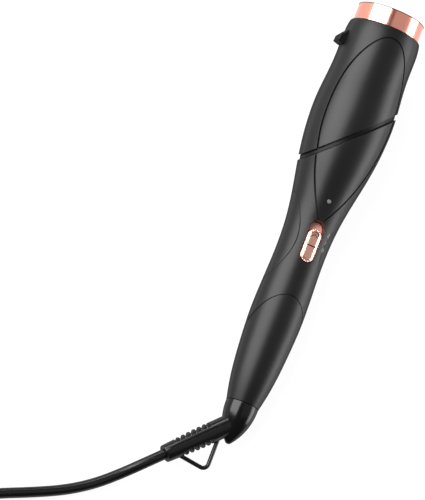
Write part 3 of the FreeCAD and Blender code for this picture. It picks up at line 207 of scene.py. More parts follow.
@dataclass(frozen=True)
class Finish:
    """One real finish, and the values that its shader starts from."""

    name: str
    colour: str
    shade: str
    pattern: Pattern
    roughness: float
    metallic: float = 0.0
    ior: float = 1.5
    grain_mm: float = 0.8
    depth_mm: float = 0.02
    edge_mm: float = 0.3
    transmission: float = 0.0
    grazing: float = 0.0
    mottle_mm: float = 22.0
    smoothest: float = 0.88
    roughest: float = 1.14
    # How far in from an edge the colour is lifted, for wear and a painted sheen.
    wear_and_sheen_mm: float = 0.5

    def material(self) -> bpy.types.Material:
        """Build the material, or give back the one built before."""
        known = bpy.data.materials.get(self.name)
        if known is not None:
            return known
        made = bpy.data.materials.new(self.name)
        tree = empty_tree(made)
        place = add_node(tree, "ShaderNodeTexCoord").outputs["Object"]
        mottle = add_node(
            tree, "ShaderNodeTexNoise",
            links={
                "Vector": place,
                "Scale": 1 / (self.mottle_mm * MM),
                "Detail": 3.0,
                "Roughness": 0.55,
            },
        ).outputs["Fac"]
        height = self.relief(tree, place)
        # The edges' lifted colour is partly rubbed wear, partly a painted sheen.
        worn_and_sheen = self.edge_wear_and_sheen(tree)
        colour = add_node(
            tree, "ShaderNodeMix",
            {"data_type": "RGBA"},
            {"Factor": mottle, "A": linear(self.shade), "B": linear(self.colour)},
        ).outputs["Result"]
        lifted = add_node(
            tree, "ShaderNodeHueSaturation",
            links={"Value": self.lift(tree, worn_and_sheen), "Color": colour},
        ).outputs["Color"]
        dull = add_node(
            tree, "ShaderNodeMapRange",
            links={
                "Value": height,
                "To Min": self.roughness * self.smoothest,
                "To Max": min(1.0, self.roughness * self.roughest + 0.01),
            },
        ).outputs["Result"]
        if self.grazing:
            dull = self.dull_at_edges(tree, dull)
        bump = add_node(
            tree, "ShaderNodeBump",
            links={
                "Strength": 0.6,
                "Distance": self.depth_mm * MM,
                "Height": height,
                "Normal": add_node(
                    tree, "ShaderNodeBevel", {"samples": 6}, {"Radius": self.edge_mm * MM}
                ).outputs["Normal"],
            },
        ).outputs["Normal"]
        shader = add_node(
            tree, "ShaderNodeBsdfPrincipled",
            links={
                "Base Color": lifted,
                "Metallic": self.metallic,
                "Roughness": dull,
                "IOR": self.ior,
                "Transmission Weight": self.transmission,
                "Normal": bump,
            },
        )
        add_node(tree, "ShaderNodeOutputMaterial", links={"Surface": shader.outputs["BSDF"]})
        return made

    def put_on(self, piece: Piece, smooth: bool = False) -> None:
        """Give a piece this finish, and no other.

        Args:
            piece: the mesh or curve object.
            smooth: whether its faces are shaded as one smooth surface.
        """
        piece.data.materials.clear()
        piece.data.materials.append(self.material())
        if smooth:
            for face in piece.data.polygons:
                face.use_smooth = True

    def dull_at_edges(self, tree: Tree, dull: Socket) -> Socket:
        """Take the gloss off a matted lacquer where it is seen from the side.

        Args:
            tree: the material's tree.
            dull: the roughness of the face-on surface.

        Returns:
            The roughness, up to the finish's grazing value.
        """
        facing = add_node(tree, "ShaderNodeLayerWeight", links={"Blend": 0.5}).outputs["Facing"]
        leaning = add_node(
            tree, "ShaderNodeMapRange",
            links={
                "Value": facing,
                "From Min": 0.35,
                "From Max": 0.8,
                "To Min": 0.0,
                "To Max": self.grazing,
            },
        ).outputs["Result"]
        return add_node(
            tree, "ShaderNodeMath", {"operation": "MAXIMUM"}, {0: dull, 1: leaning}
        ).outputs["Value"]

    def lift(self, tree: Tree, worn_and_sheen: Socket) -> Socket:
        """Brighten the colour a little at the edges: partly rubbed wear, partly a painted sheen."""
        return add_node(
            tree, "ShaderNodeMapRange", links={"Value": worn_and_sheen, "To Min": 1.0, "To Max": 1.35}
        ).outputs["Result"]

    def edge_wear_and_sheen(self, tree: Tree) -> Socket:
        """Find the edges, where the colour is lifted for wear and a painted sheen: there the
        rounded normal leans away from the face's own.

        Args:
            tree: the material's tree.

        Returns:
            A socket that is 0 on open faces and 1 on a sharp edge.
        """
        rounded = add_node(tree, "ShaderNodeBevel", {"samples": 4}, {"Radius": self.wear_and_sheen_mm * MM})
        facing = add_node(tree, "ShaderNodeNewGeometry").outputs["Normal"]
        across = add_node(
            tree, "ShaderNodeVectorMath",
            {"operation": "DOT_PRODUCT"},
            {0: rounded.outputs["Normal"], 1: facing},
        ).outputs["Value"]
        return add_node(
            tree, "ShaderNodeMapRange",
            links={"Value": across, "From Min": 0.98, "From Max": 0.75},
        ).outputs["Result"]

    def relief(self, tree: Tree, place: Socket) -> Socket:
        """Draw the height that the surface's making leaves.

        Args:
            tree: the material's tree.
            place: object coordinates, in metres.

        Returns:
            A socket with the height, from 0 to 1.
        """
        fine = 1 / (self.grain_mm * MM)
        if self.pattern in (Pattern.DRAWN, Pattern.SATIN_METAL):
            stretched = add_node(
                tree, "ShaderNodeMapping",
                links={"Vector": place, "Scale": (fine * 0.06, fine, fine * 0.06)},
            ).outputs["Vector"]
            return add_node(
                tree, "ShaderNodeTexNoise", links={"Vector": stretched, "Scale": 1.0, "Detail": 2.0}
            ).outputs["Fac"]
        if self.pattern is Pattern.FLAKED:
            return add_node(
                tree, "ShaderNodeTexVoronoi", links={"Vector": place, "Scale": fine}
            ).outputs["Distance"]
        if self.pattern in (Pattern.WOVEN, Pattern.FIBRE):
            threads = [
                add_node(
                    tree, "ShaderNodeTexWave",
                    {"bands_direction": axis},
                    {"Vector": place, "Scale": fine / (2 * math.pi) * 6.3 / 2},
                ).outputs["Fac"]
                for axis in ("X", "Y")
            ]
            return add_node(
                tree, "ShaderNodeMath", {"operation": "MAXIMUM"}, dict(enumerate(threads))
            ).outputs["Value"]
        return add_node(
            tree, "ShaderNodeTexNoise",
            links={"Vector": place, "Scale": fine, "Detail": 2.0, "Roughness": 0.6},
        ).outputs["Fac"]


# Grain, scratches and threads are usually finer than 0.3 mm, which is too fine to show,
# so they are drawn at 0.7 to 0.9 mm.
# Moulded ABS with a soft satin lacquer over spark-eroded grain: broad, soft highlights.
SATIN_SHELL = Finish(
    "Moulded ABS satin black", "#0A0A0B", "#080809", Pattern.SPARK_GRAIN, 0.4, ior=1.3,
    depth_mm=0.012, grazing=0.9,
)
# The inlays are moulded in a smoother tool, so their highlights are a little tighter.
SATIN_PANEL = Finish(
    "Moulded ABS inlay satin black", "#0B0B0C", "#09090A", Pattern.SPARK_GRAIN, 0.37, ior=1.3,
    depth_mm=0.01, edge_mm=0.5, grazing=0.9,
)
# Thermoplastic rubber pads: a touch duller than the shell they sit in.
GRIP_PAD = Finish(
    "Moulded TPE grip", "#0D0D0E", "#0B0B0C", Pattern.SPARK_GRAIN, 0.42, ior=1.3,
    depth_mm=0.014, grazing=0.9,
)
# Glass fibres at the surface keep moulded nylon matt and deep black.
NYLON = Finish(
    "Glass-filled nylon black", "#08080A", "#070708", Pattern.SPARK_GRAIN, 0.42, ior=1.22,
    depth_mm=0.012, grazing=0.9,
)
# Polished tool: the cord cap mirrors its surroundings softly.
GLOSS_CAP = Finish(
    "Moulded ABS gloss black", "#0B0B0C", "#09090A", Pattern.POLISHED, 0.18, ior=1.3,
    depth_mm=0.006, grain_mm=3.0, grazing=0.8,
)
# Soft PVC copies its polished tool: narrow, slightly greasy light lines.
SOFT_PVC = Finish(
    "Moulded PVC black", "#0A0A0B", "#08080A", Pattern.POLISHED, 0.2, ior=1.33,
    depth_mm=0.01, grain_mm=2.0, grazing=0.8,
)
# Extruded PVC is smooth along its length, with one thin light line.
CORD_PVC = Finish(
    "Extruded PVC cord jacket", "#0A0A0B", "#08080A", Pattern.POLISHED, 0.22, ior=1.33,
    depth_mm=0.012, grain_mm=2.6, grazing=0.8,
)
# Rose-gold anodised aluminium collar, turned and satin: stretched, wide highlights.
ROSE_COLLAR = Finish(
    "Rose-gold anodised aluminium", "#F0A593", "#E59A88", Pattern.SATIN_METAL, 0.17, 1.0,
    depth_mm=0.003, grain_mm=0.7, edge_mm=0.5,
)
# Near black: a thin dark line on the collar's edge, a painted dark reflection.
DARK_REFLECTION_LINE = Finish(
    "Painted dark reflection line", "#2A1611", "#20100C", Pattern.SATIN_METAL, 0.6, depth_mm=0.003,
    grain_mm=0.7,
)
# Plating over polished plastic: warm, clear reflections with a little ripple.
ROSE_PLATED = Finish(
    "Rose-gold plated ABS", "#E3AE9D", "#D69C8B", Pattern.PLATED, 0.2, 1.0, depth_mm=0.006,
    grain_mm=2.5,
)
# The slider's rim is polished, and its colour is paler than the pads' as a painted highlight.
ROSE_RIM_PAINTED_HIGHLIGHT = Finish(
    "Rose-gold rim with painted highlight", "#F6DED4", "#EFD2C7", Pattern.PLATED, 0.14, 1.0, depth_mm=0.004,
    grain_mm=2.5,
)
# A thin lacquer over black: pink without any mirror.
ROSE_FILM = Finish(
    "Rose lacquer film", "#D9998A", "#CC8C7D", Pattern.POLISHED, 0.3, depth_mm=0.004, grain_mm=2.0
)
# A dark brown gloss. On the switch bezel it is rose gold darkened as painted shade in the recess;
# on the slider it draws the dark arrow and bar.
DARK_BRONZE_AND_SHADE = Finish(
    "Dark bronze gloss with painted shade", "#33160F", "#28110D", Pattern.POLISHED, 0.15, 0.45,
    depth_mm=0.006, grain_mm=2.5,
)
# Filled, heat-proof plastic: dry and grey beside the shell.
PPS_GRILLE = Finish(
    "Heat-resistant PPS black", "#1B1B1B", "#151515", Pattern.SPARK_GRAIN, 0.5, depth_mm=0.02
)
# Pressed flakes glint apart from each other in a warm beige.
MICA = Finish(
    "Pressed mica sheet", "#C9B68F", "#A8946C", Pattern.FLAKED, 0.4, depth_mm=0.05, grain_mm=2.2
)
# Drawn and oxidised by heat: a dull grey metal with streaks.
NICHROME = Finish(
    "Nichrome strip", "#A8A39E", "#7D7873", Pattern.DRAWN, 0.35, 1.0, grain_mm=0.8
)
# Rolled and plated: bright, with a fine drag along it.
PLATED_STEEL = Finish(
    "Plated steel", "#C4C4C6", "#ABABAD", Pattern.DRAWN, 0.3, 1.0, grain_mm=0.8, depth_mm=0.008
)
# Hard rolled strip: a greyer and tighter shine than plating.
SPRING_STEEL = Finish(
    "Spring steel strip", "#B9B9BB", "#9A9A9D", Pattern.DRAWN, 0.28, 1.0, grain_mm=0.7,
    depth_mm=0.006,
)
# Fired glaze: off-white with small sharp highlights.
GLAZED_CERAMIC = Finish(
    "Glazed ceramic", "#DED8C8", "#CFC8B6", Pattern.POLISHED, 0.15, depth_mm=0.01, grain_mm=2.0
)
# Green resist over woven glass: the weave shows as a faint ripple.
EPOXY_BOARD = Finish(
    "Glass-epoxy board", "#1F7A45", "#17633A", Pattern.FIBRE, 0.4, depth_mm=0.01, grain_mm=0.7
)
# A plain moulding: pale and matt.
POTTED_CASE = Finish(
    "Potted module case", "#CFCFC9", "#BDBDB6", Pattern.SPARK_GRAIN, 0.45, depth_mm=0.02
)
# Polished acrylic: a smoky grey that lets some light through.
CLEAR_LENS = Finish(
    "Clear acrylic", "#73736F", "#6A6A67", Pattern.POLISHED, 0.08, ior=1.49, depth_mm=0.003,
    grain_mm=2.0, transmission=0.35,
)
# Unfilled nylon: mid grey with a soft bloom.
FAN_NYLON = Finish(
    "Moulded nylon grey", "#5F5F61", "#525254", Pattern.SPARK_GRAIN, 0.42, depth_mm=0.015
)
# Woven filament: dull, with a visible check.
MESH = Finish(
    "Woven nylon mesh", "#343434", "#262626", Pattern.WOVEN, 0.6, depth_mm=0.12, grain_mm=0.9
)
# Bright nickel over drawn brass: a pale, warm mirror with fine streaks.
NICKEL = Finish(
    "Nickel-plated brass", "#CFC9BE", "#BDB7AB", Pattern.DRAWN, 0.2, 1.0, grain_mm=0.8,
    depth_mm=0.005,
)
# Woven webbing: nearly no highlight.
STRAP = Finish(
    "Woven nylon strap", "#222223", "#171718", Pattern.WOVEN, 0.7, depth_mm=0.15, grain_mm=0.9
)
# Printed ink is thin and matt.
PALE_INK = Finish(
    "Pad-printed pale ink", "#9A9592", "#8E8986", Pattern.POLISHED, 0.55, depth_mm=0.004,
    grain_mm=1.2,
)

DRESSED: tuple[tuple[Finish, str, tuple[str, ...]], ...] = (
    (SATIN_SHELL, "satin_black_abs",
     ("head_casing", "handle_front_shell", "handle_rear_shell", "intake_cover")),
    (SATIN_PANEL, "satin_black_panel", ("head_panel", "head_rear_panel", "handle_panel")),
    (GRIP_PAD, "satin_black_abs", ("grip_pad_left", "grip_pad_right")),
    (NYLON, "black_nylon", ("head_swivel_collar", "handle_swivel_collar", "latch_knob")),
    (SPRING_STEEL, "spring_steel", ("swivel_retainer", "latch_spring", "swivel_clip")),
    (ROSE_COLLAR, "rose_gold_metal", ("outlet_ring",)),
    (PPS_GRILLE, "black_grille", ("outlet_grille",)),
    (MICA, "mica", ("heater_tube", "heater_boards")),
    (NICHROME, "nichrome", ("heater_coil",)),
    (PLATED_STEEL, "cutout_steel", ("thermostat",)),
    (GLAZED_CERAMIC, "cutout_ceramic", ("thermal_fuse",)),
    # The bezel's dark brown is rose gold with painted shade.
    (DARK_BRONZE_AND_SHADE, "bronze_gloss", ("switch_bezel",)),
    (ROSE_PLATED, "rose_gold_plated", ("switch_slider",)),
    (NYLON, "contact_block", ("slide_switch",)),
    (EPOXY_BOARD, "board_green", ("switch_board",)),
    (POTTED_CASE, "ion_case", ("ion_module",)),
    (CLEAR_LENS, "lamp_lens", ("indicator_lens",)),
    (FAN_NYLON, "fan_nylon", ("fan_housing", "impeller")),
    (PLATED_STEEL, "motor_can", ("fan_motor",)),
    (PLATED_STEEL, "shaft_steel", ("fan_shaft",)),
    (MESH, "filter_mesh", ("intake_filter",)),
    (PLATED_STEEL, "screw_steel", ("shell_screws",)),
    (GLOSS_CAP, "gloss_black_abs", ("swivel_cap",)),
    (SOFT_PVC, "black_rubber", ("strain_relief", "hanging_loop", "plug_body")),
    (NICKEL, "plug_pin_nickel", ("plug_pins",)),
)


def ring_mesh(
    name: str,
    rings: list[list[Vector]],
    place: Matrix,
    finish: Finish,
    looped: bool = False,
    smooth: bool = False,
) -> Piece:
    """Join rings of points into a closed mesh.

    Args:
        name: the piece's name.
        rings: rings with the same number of points, in millimetres.
        place: where the points' own axes lie.
        finish: what the piece is made of.
        looped: whether the last ring joins the first one, in place of two end caps.
        smooth: whether its faces are shaded as one smooth surface.

    Returns:
        The piece.
    """
    count = len(rings[0])
    numbers = [list(range(first * count, (first + 1) * count)) for first in range(len(rings))]
    faces = []
    if looped:
        numbers.append(numbers[0])
    else:
        faces += [numbers[0][::-1], numbers[-1]]
    for below, above in zip(numbers, numbers[1:]):
        for here in range(count):
            after = (here + 1) % count
            faces.append([below[here], below[after], above[after], above[here]])
    piece = make_mesh(name, [point * MM for ring in rings for point in ring], faces)
    piece.data.transform(place)
    finish.put_on(piece, smooth)
    return piece


# ---------------- where the styler lies
@dataclass(frozen=True)
class RestingPlace:
    """The place of the styler's own axes on the table: Y up the styler, Z its front."""

    origin_mm: Point = (6.76956, 165.291, 32.7010)
    tilt_deg: float = 3.89506

    def matrix(self) -> Matrix:
        """Give the matrix from the styler's axes, in metres, to the table's."""
        turn = Matrix.Rotation(math.radians(self.tilt_deg), 4, "X")
        return Matrix.Translation(Vector(self.origin_mm) * MM) @ turn


# ---------------- camera, light and table
@dataclass(frozen=True)
class Viewpoint:
    """A long lens far off, looking down on the styler, turned so that it stands up."""

    azimuth_deg: float = -43.858
    elevation_deg: float = 67.053
    roll_deg: float = 66.14
    target_mm: Point = (-51.97, -29.36, 28.0)
    distance: float = 12.0
    mm_per_pixel: float = 0.649

    def axes(self) -> tuple[Vector, Vector, Vector]:
        """Give the picture's right and up, and the way back to the camera."""
        azimuth, elevation = math.radians(self.azimuth_deg), math.radians(self.elevation_deg)
        level_share = math.cos(elevation)
        back = Vector((math.sin(azimuth), -math.cos(azimuth), 0)) * level_share
        back.z = math.sin(elevation)
        level = Vector((0, 0, 1)).cross(back).normalized()
        upward = back.cross(level)
        roll = math.radians(self.roll_deg)
        right = level * math.cos(roll) + upward * math.sin(roll)
        return right, back.cross(right), back

    def build(self) -> None:
        """Make the camera and set it as the scene's."""
        right, upward, back = self.axes()
        data = bpy.data.cameras.new("Camera")
        data.sensor_width = 36.0
        data.lens = 36.0 * self.distance / (max(PICTURE) * self.mm_per_pixel * MM)
        data.clip_start, data.clip_end = 1.0, 60.0
        camera = put_in_scene("Camera", data)
        place = Vector(self.target_mm) * MM + back * self.distance
        camera.matrix_world = axes_at(right, upward, back, place)
        bpy.context.scene.camera = camera


@dataclass(frozen=True)
class SoftBox:
    """A square or oblong area lamp that faces the styler."""

    name: str
    towards: Vector
    along: Vector
    distance: float
    size: tuple[float, float]
    radiance: float

    def build(self, target: Vector) -> None:
        """Hang the lamp.

        Args:
            target: the point that it faces, in metres.
        """
        data = bpy.data.lights.new(self.name, "AREA")
        data.shape = "RECTANGLE"
        data.size, data.size_y = self.size
        data.energy = self.radiance * math.pi * self.size[0] * self.size[1]
        lamp = put_in_scene(self.name, data)
        back = self.towards.normalized()
        up = (self.along - back * self.along.dot(back)).normalized()
        lamp.matrix_world = axes_at(up.cross(back), up, back, target + back * self.distance)


@dataclass
class Studio:
    """The plain pale table, its even surroundings and the soft lamps."""

    view: Viewpoint
    table_half: float = 6.0
    table_drop: float = 0.0002
    table_colour: str = "#565656"
    table_glow: float = 0.93
    room_light: float = 0.1
    target: Point = (0.0, 0.0, 0.03)
    distance: float = 1.5
    lamp_length: float = 1.4
    # The styler's lean in the picture, as a cosine and a sine, and how far the lamps are
    # moved along it.
    lean: tuple[float, float] = (0.935, 0.355)
    tip: float = 0.22
    # Each lamp fills one band of the reflections round the barrel: degrees from the line
    # of sight, then how wide the band is in degrees, and how bright.
    bands: tuple[tuple[str, float, float, float], ...] = (
        ("key_softbox", -43.0, 58.0, 11.0),
        ("fill_card", 45.0, 60.0, 0.55),
        ("rim_softbox", 93.0, 30.0, 8.0),
    )
    # The last one stands beyond the outlet and draws the light line along the cord. Its
    # place is given along the styler, towards the camera and across the styler.
    end_place: Point = (0.86, 0.3, -0.36)
    end_distance: float = 1.7
    end_size: tuple[float, float] = (1.5, 0.4)
    end_radiance: float = 8.0

    def build(self) -> None:
        """Make the table, the surroundings and the lamps."""
        self.table()
        self.surroundings()
        right, upward, back = self.view.axes()
        lean_cos, lean_sin = self.lean
        across = right * lean_cos - upward * lean_sin
        along = right * lean_sin + upward * lean_cos
        target = Vector(self.target)
        tip = along * self.tip
        for name, angle, width, radiance in self.bands:
            turn = math.radians(angle)
            towards = (back + tip) * math.cos(turn) + across * math.sin(turn) + tip
            reach = 2 * self.distance * math.tan(math.radians(width / 2))
            size = (reach, self.lamp_length)
            SoftBox(name, towards, along, self.distance, size, radiance).build(target)
        ahead, above, aside = self.end_place
        beyond = along * ahead + back * above + across * aside
        SoftBox(
            "end_softbox", beyond, back, self.end_distance, self.end_size, self.end_radiance
        ).build(target)

    def table(self) -> None:
        """Lay the pale table, which shows nearly white and keeps the styler's shadow."""
        signs = ((-1, -1), (1, -1), (1, 1), (-1, 1))
        corners = [(x * self.table_half, y * self.table_half, -self.table_drop) for x, y in signs]
        top = make_mesh("table", corners, [[0, 1, 2, 3]])
        paint = bpy.data.materials.new("Matt laminate pale")
        tree = empty_tree(paint)
        matt = add_node(
            tree, "ShaderNodeBsdfDiffuse", links={"Color": linear(self.table_colour)}
        ).outputs["BSDF"]
        glow = add_node(
            tree, "ShaderNodeEmission", links={"Strength": self.table_glow}
        ).outputs["Emission"]
        bright = add_node(tree, "ShaderNodeAddShader", links={0: matt, 1: glow}).outputs["Shader"]
        seen = self.seen(tree)
        mixed = add_node(
            tree, "ShaderNodeMixShader", links={"Fac": seen, 1: matt, 2: bright}
        ).outputs["Shader"]
        add_node(tree, "ShaderNodeOutputMaterial", links={"Surface": mixed})
        top.data.materials.append(paint)

    def seen(self, tree: Tree) -> Socket:
        """Give 1 for rays from the camera, a mirror or a clear piece, and 0 for the rest."""
        rays = add_node(tree, "ShaderNodeLightPath").outputs
        seen = rays["Is Camera Ray"]
        for other in ("Is Glossy Ray", "Is Transmission Ray"):
            seen = add_node(
                tree, "ShaderNodeMath", {"operation": "MAXIMUM"}, {0: seen, 1: rays[other]}
            ).outputs["Value"]
        return seen

    def surroundings(self) -> None:
        """Give the room an even, low light."""
        world = bpy.data.worlds.new("Room")
        tree = empty_tree(world)
        room = add_node(
            tree, "ShaderNodeBackground",
            links={"Color": (1.0, 1.0, 1.0, 1.0), "Strength": self.room_light},
        ).outputs["Background"]
        add_node(tree, "ShaderNodeOutputWorld", links={"Surface": room})
        bpy.context.scene.world = world
        bpy.context.scene.view_settings.view_transform = "Standard"


# ---------------- cord
@dataclass
class PowerCord:
    """The 7 mm mains cord: a lead over the table, a tied coil and a tail to the plug."""

    radius_mm: float = 3.5
    exit_mm: Point = (-30.33, -163.18, 10.34)
    lead_mm: tuple[Point, ...] = (
        (-40.4, -173.8, 9.6),
        (-51.5, -185.4, 5.4),
        (-65.0, -198.2, 3.6),
        (-82.0, -210.4, 3.6),
        (-103.0, -221.4, 3.6),
        (-125.0, -231.7, 3.6),
        (-144.3, -242.3, 3.6),
    )
    tail_mm: tuple[Point, ...] = (
        (-151.6, -331.6, 17.6),
        (-139.0, -337.4, 17.6),
        (-124.0, -342.6, 17.0),
        (-109.0, -346.2, 13.6),
        (-97.0, -348.6, 12.2),
    )
    coil_centre_mm: tuple[float, float] = (-133.7, -293.1)
    coil_start_deg: float = 126.87
    per_turn: int = 12
    # Turns wound so far, the radius there and the height of the cord's middle.
    winding: tuple[Point, ...] = (
        (0.0, 47.9, 3.6),
        (2.5, 30.0, 3.6),
        (2.75, 30.0, 10.7),
        (5.5, 49.9, 10.7),
        (5.75, 49.9, 17.7),
        (6.34, 44.0, 17.7),
    )
    tie_deg: float = 20.0
    tie_width_mm: float = 9.0
    tie_thick_mm: float = 1.2
    tie_slack_mm: float = 0.1
    tie_lift_mm: tuple[float, float] = (0.15, 0.1)
    tie_around: int = 24

    def wound(self, turns: float) -> tuple[float, float]:
        """Give the coil's radius and height, in millimetres, after so many turns."""
        stations = self.winding
        for (before, near, low), (after, far, high) in zip(stations, stations[1:]):
            if turns <= after:
                share = (turns - before) / (after - before)
                return near + (far - near) * share, low + (high - low) * share
        return stations[-1][1], stations[-1][2]

    def coil_points(self) -> list[Point]:
        """Give the coil's control points, a little outside the turns that they draw."""
        swell = 1 / math.cos(math.pi / self.per_turn)
        points = []
        for step in range(int(self.winding[-1][0] * self.per_turn) + 1):
            turns = step / self.per_turn
            radius, height = self.wound(turns)
            angle = math.radians(self.coil_start_deg + 360 * turns)
            x = self.coil_centre_mm[0] + radius * swell * math.cos(angle)
            y = self.coil_centre_mm[1] + radius * swell * math.sin(angle)
            points.append((x, y, height))
        return points

    def curve(self) -> Piece:
        """Make the cord as one open NURBS spline."""
        route = [self.exit_mm, *self.lead_mm, *self.coil_points(), *self.tail_mm]
        jacket = thick_line("cord_jacket", "NURBS", route, self.radius_mm, 6)
        jacket.data.splines[0].order_u = 3
        jacket.data.splines[0].use_endpoint_u = True
        jacket.data.resolution_u = 6
        CORD_PVC.put_on(jacket)
        return jacket

    def length(self, jacket: Piece) -> float:
        """Measure the spline, in metres."""
        bare = put_in_scene("cord_line", jacket.data.copy())
        bare.data.bevel_depth = 0
        bare.data.use_fill_caps = False
        line = bake(bare)
        places = [vertex.co for vertex in line.data.vertices]
        total = sum((places[a] - places[b]).length for a, b in line.data.edge_keys)
        bpy.data.objects.remove(line)
        return total

    def tie(self) -> Piece:
        """Wrap a flat strap round the coil's bundle of turns.

        Returns:
            The strap, a closed band with rounded corners.
        """
        angle = math.radians(self.tie_deg)
        out = Vector((math.cos(angle), math.sin(angle), 0))
        side = Vector((-math.sin(angle), math.cos(angle), 0))
        centre = Vector((*self.coil_centre_mm, 0))
        inner_floor, outer_floor = self.tie_lift_mm
        reach = self.radius_mm + self.tie_slack_mm
        turns = (self.tie_deg - self.coil_start_deg) / 360 % 1
        rim = []
        while turns < self.winding[-1][0]:
            radius, height = self.wound(turns)
            for step in range(self.tie_around):
                around = 2 * math.pi * step / self.tie_around
                lift = max(inner_floor, height + reach * math.sin(around))
                rim.append((radius + reach * math.cos(around), lift))
            turns += 1
        outline = convex_outline(rim)
        middle = [sum(values) / len(outline) for values in zip(*outline)]
        half, thick = self.tie_width_mm / 2, self.tie_thick_mm
        rings = []
        for lifted, slide in ((0.0, -half), (0.0, half), (thick, half), (thick, -half)):
            ring = []
            for x, z in outline:
                dx, dz = x - middle[0], z - middle[1]
                scale = lifted / max(1e-6, math.hypot(dx, dz))
                place = centre + out * (x + dx * scale) + side * slide
                place.z = max(outer_floor, z + dz * scale)
                ring.append(place)
            rings.append(ring)
        return ring_mesh("coil_strap", rings, Matrix(), STRAP, looped=True)

    def build(self) -> None:
        jacket = self.curve()
        long = self.length(jacket)
        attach(jacket, "cord_end")
        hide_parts("power_cord", "cord_coil", "cord_tail")
        strap = self.tie()
        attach(strap, "cord_end")
        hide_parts("cord_tie")
        LOG.info("cord_jacket: %.3f m", long)


def convex_outline(points: list[tuple[float, float]]) -> list[tuple[float, float]]:
    """Give the convex outline of flat points, counter-clockwise.

    Args:
        points: any points on a plane.

    Returns:
        The outline's corners in order.
    """
    ordered = sorted(set(points))
    halves = []
    for run in (ordered, ordered[::-1]):
        chain: list[tuple[float, float]] = []
        for point in run:
            while len(chain) > 1 and (
                (chain[-1][0] - chain[-2][0]) * (point[1] - chain[-2][1])
                - (chain[-1][1] - chain[-2][1]) * (point[0] - chain[-2][0])
                <= 0
            ):
                chain.pop()
            chain.append(point)
        halves.append(chain[:-1])
    return halves[0] + halves[1]


# ---------------- rings, rods and trees
def node_group(name: str, inputs: Sizes) -> Tree:
    """Start a Geometry Nodes tree with named inputs.

    Args:
        name: the tree's name.
        inputs: the inputs' names and first values; a whole number makes an integer input.

    Returns:
        The tree, with a material input and a geometry output.
    """
    tree = bpy.data.node_groups.new(name, "GeometryNodeTree")
    for key, first in inputs.items():
        kind = "NodeSocketInt" if isinstance(first, int) else "NodeSocketFloat"
        socket = tree.interface.new_socket(key, in_out="INPUT", socket_type=kind)
        socket.default_value = first
    tree.interface.new_socket("Material", in_out="INPUT", socket_type="NodeSocketMaterial")
    tree.interface.new_socket("Geometry", in_out="OUTPUT", socket_type="NodeSocketGeometry")
    return tree


def finish_group(tree: Tree, shape: Socket, material: Socket) -> None:
    """End a tree in Realize Instances and Set Material.

    Args:
        tree: the tree.
        shape: the geometry that it makes.
        material: the input with the material.
    """
    real = add_node(tree, "GeometryNodeRealizeInstances", links={0: shape}).outputs[0]
    dressed = add_node(
        tree, "GeometryNodeSetMaterial", links={"Geometry": real, "Material": material}
    ).outputs["Geometry"]
    add_node(tree, "NodeGroupOutput", links={"Geometry": dressed})


def formula(tree: Tree, steps: Steps) -> dict[str, Socket]:
    """Work out new values from a point's place and a tree's inputs.

    Args:
        tree: the Geometry Nodes tree.
        steps: for each sum its result's name, its kind and what goes in: numbers, or the
            names of the tree's inputs, of the point's X, Y and Z, or of earlier results.

    Returns:
        Every value by its name.
    """
    given = add_node(tree, "NodeGroupInput").outputs
    here = add_node(tree, "GeometryNodeInputPosition").outputs[0]
    spot = add_node(tree, "ShaderNodeSeparateXYZ", links={0: here}).outputs
    values = {socket.name: socket for socket in (*given, *spot)}
    for name, kind, *inputs in steps:
        links = {number: values.get(key, key) for number, key in enumerate(inputs)}
        values[name] = add_node(tree, "ShaderNodeMath", {"operation": kind}, links).outputs[0]
    return values


def reshape(tree: Tree, shape: Socket, steps: Steps) -> Socket:
    """Move each point of a shape to the X, Y and Z that a formula ends in."""
    values = formula(tree, steps)
    place = add_node(
        tree, "ShaderNodeCombineXYZ", links={axis: values[axis] for axis in "XYZ"}
    ).outputs[0]
    return add_node(
        tree, "GeometryNodeSetPosition", links={"Geometry": shape, "Position": place}
    ).outputs["Geometry"]


def grow(name: str, tree: Tree, sizes: Sizes, finish: Finish, place: Matrix) -> Piece:
    """Run a tree on an empty mesh, and keep the result as a plain mesh in its place.

    Args:
        name: the piece's name.
        tree: the Geometry Nodes tree.
        sizes: values for its named inputs.
        finish: what the piece is made of.
        place: where the tree's own axes lie.

    Returns:
        The piece, at the origin.
    """
    piece = make_mesh(name, [(0, 0, 0)], [])
    modifier = piece.modifiers.new(name, "NODES")
    modifier.node_group = tree
    values = {**sizes, "Material": finish.material()}
    for item in tree.interface.items_tree:
        if item.in_out == "INPUT":
            modifier[item.identifier] = values[item.name]
    piece = bake(piece)
    piece.data.transform(place)
    finish.put_on(piece, smooth=True)
    LOG.info("%s: %d faces", name, len(piece.data.polygons))
    return piece


# A ball of radius 1 is pressed to a disc with a rounded rim and a shallow root, which
# lies inside the boot.
PRESSED_DISC: Steps = (
    ("Reach", "MULTIPLY", "Z", "Z"),
    ("Reach", "SUBTRACT", 1.0, "Reach"),
    ("Reach", "SQRT", "Reach"),
    ("Reach", "MAXIMUM", "Reach", 0.001),
    ("Wide", "POWER", "Reach", -0.4),
    ("Wide", "MULTIPLY", "Wide", "Radius"),
    ("Limit", "MULTIPLY", "Radius", "Half Width"),
    ("X", "MULTIPLY", "X", "Wide"),
    ("X", "MINIMUM", "X", "Limit"),
    ("Limit", "MULTIPLY", "Limit", -1.0),
    ("X", "MAXIMUM", "X", "Limit"),
    ("Y", "MULTIPLY", "Y", "Wide"),
    ("Shallow", "MULTIPLY", "Y", "Root"),
    ("Y", "MAXIMUM", "Y", "Shallow"),
    ("Side", "SIGN", "Z"),
    ("Z", "ABSOLUTE", "Z"),
    ("Z", "POWER", "Z", 0.6),
    ("Z", "MULTIPLY", "Z", "Side"),
    ("Half", "MULTIPLY", "Thickness", 0.5),
    ("Z", "MULTIPLY", "Z", "Half"),
)
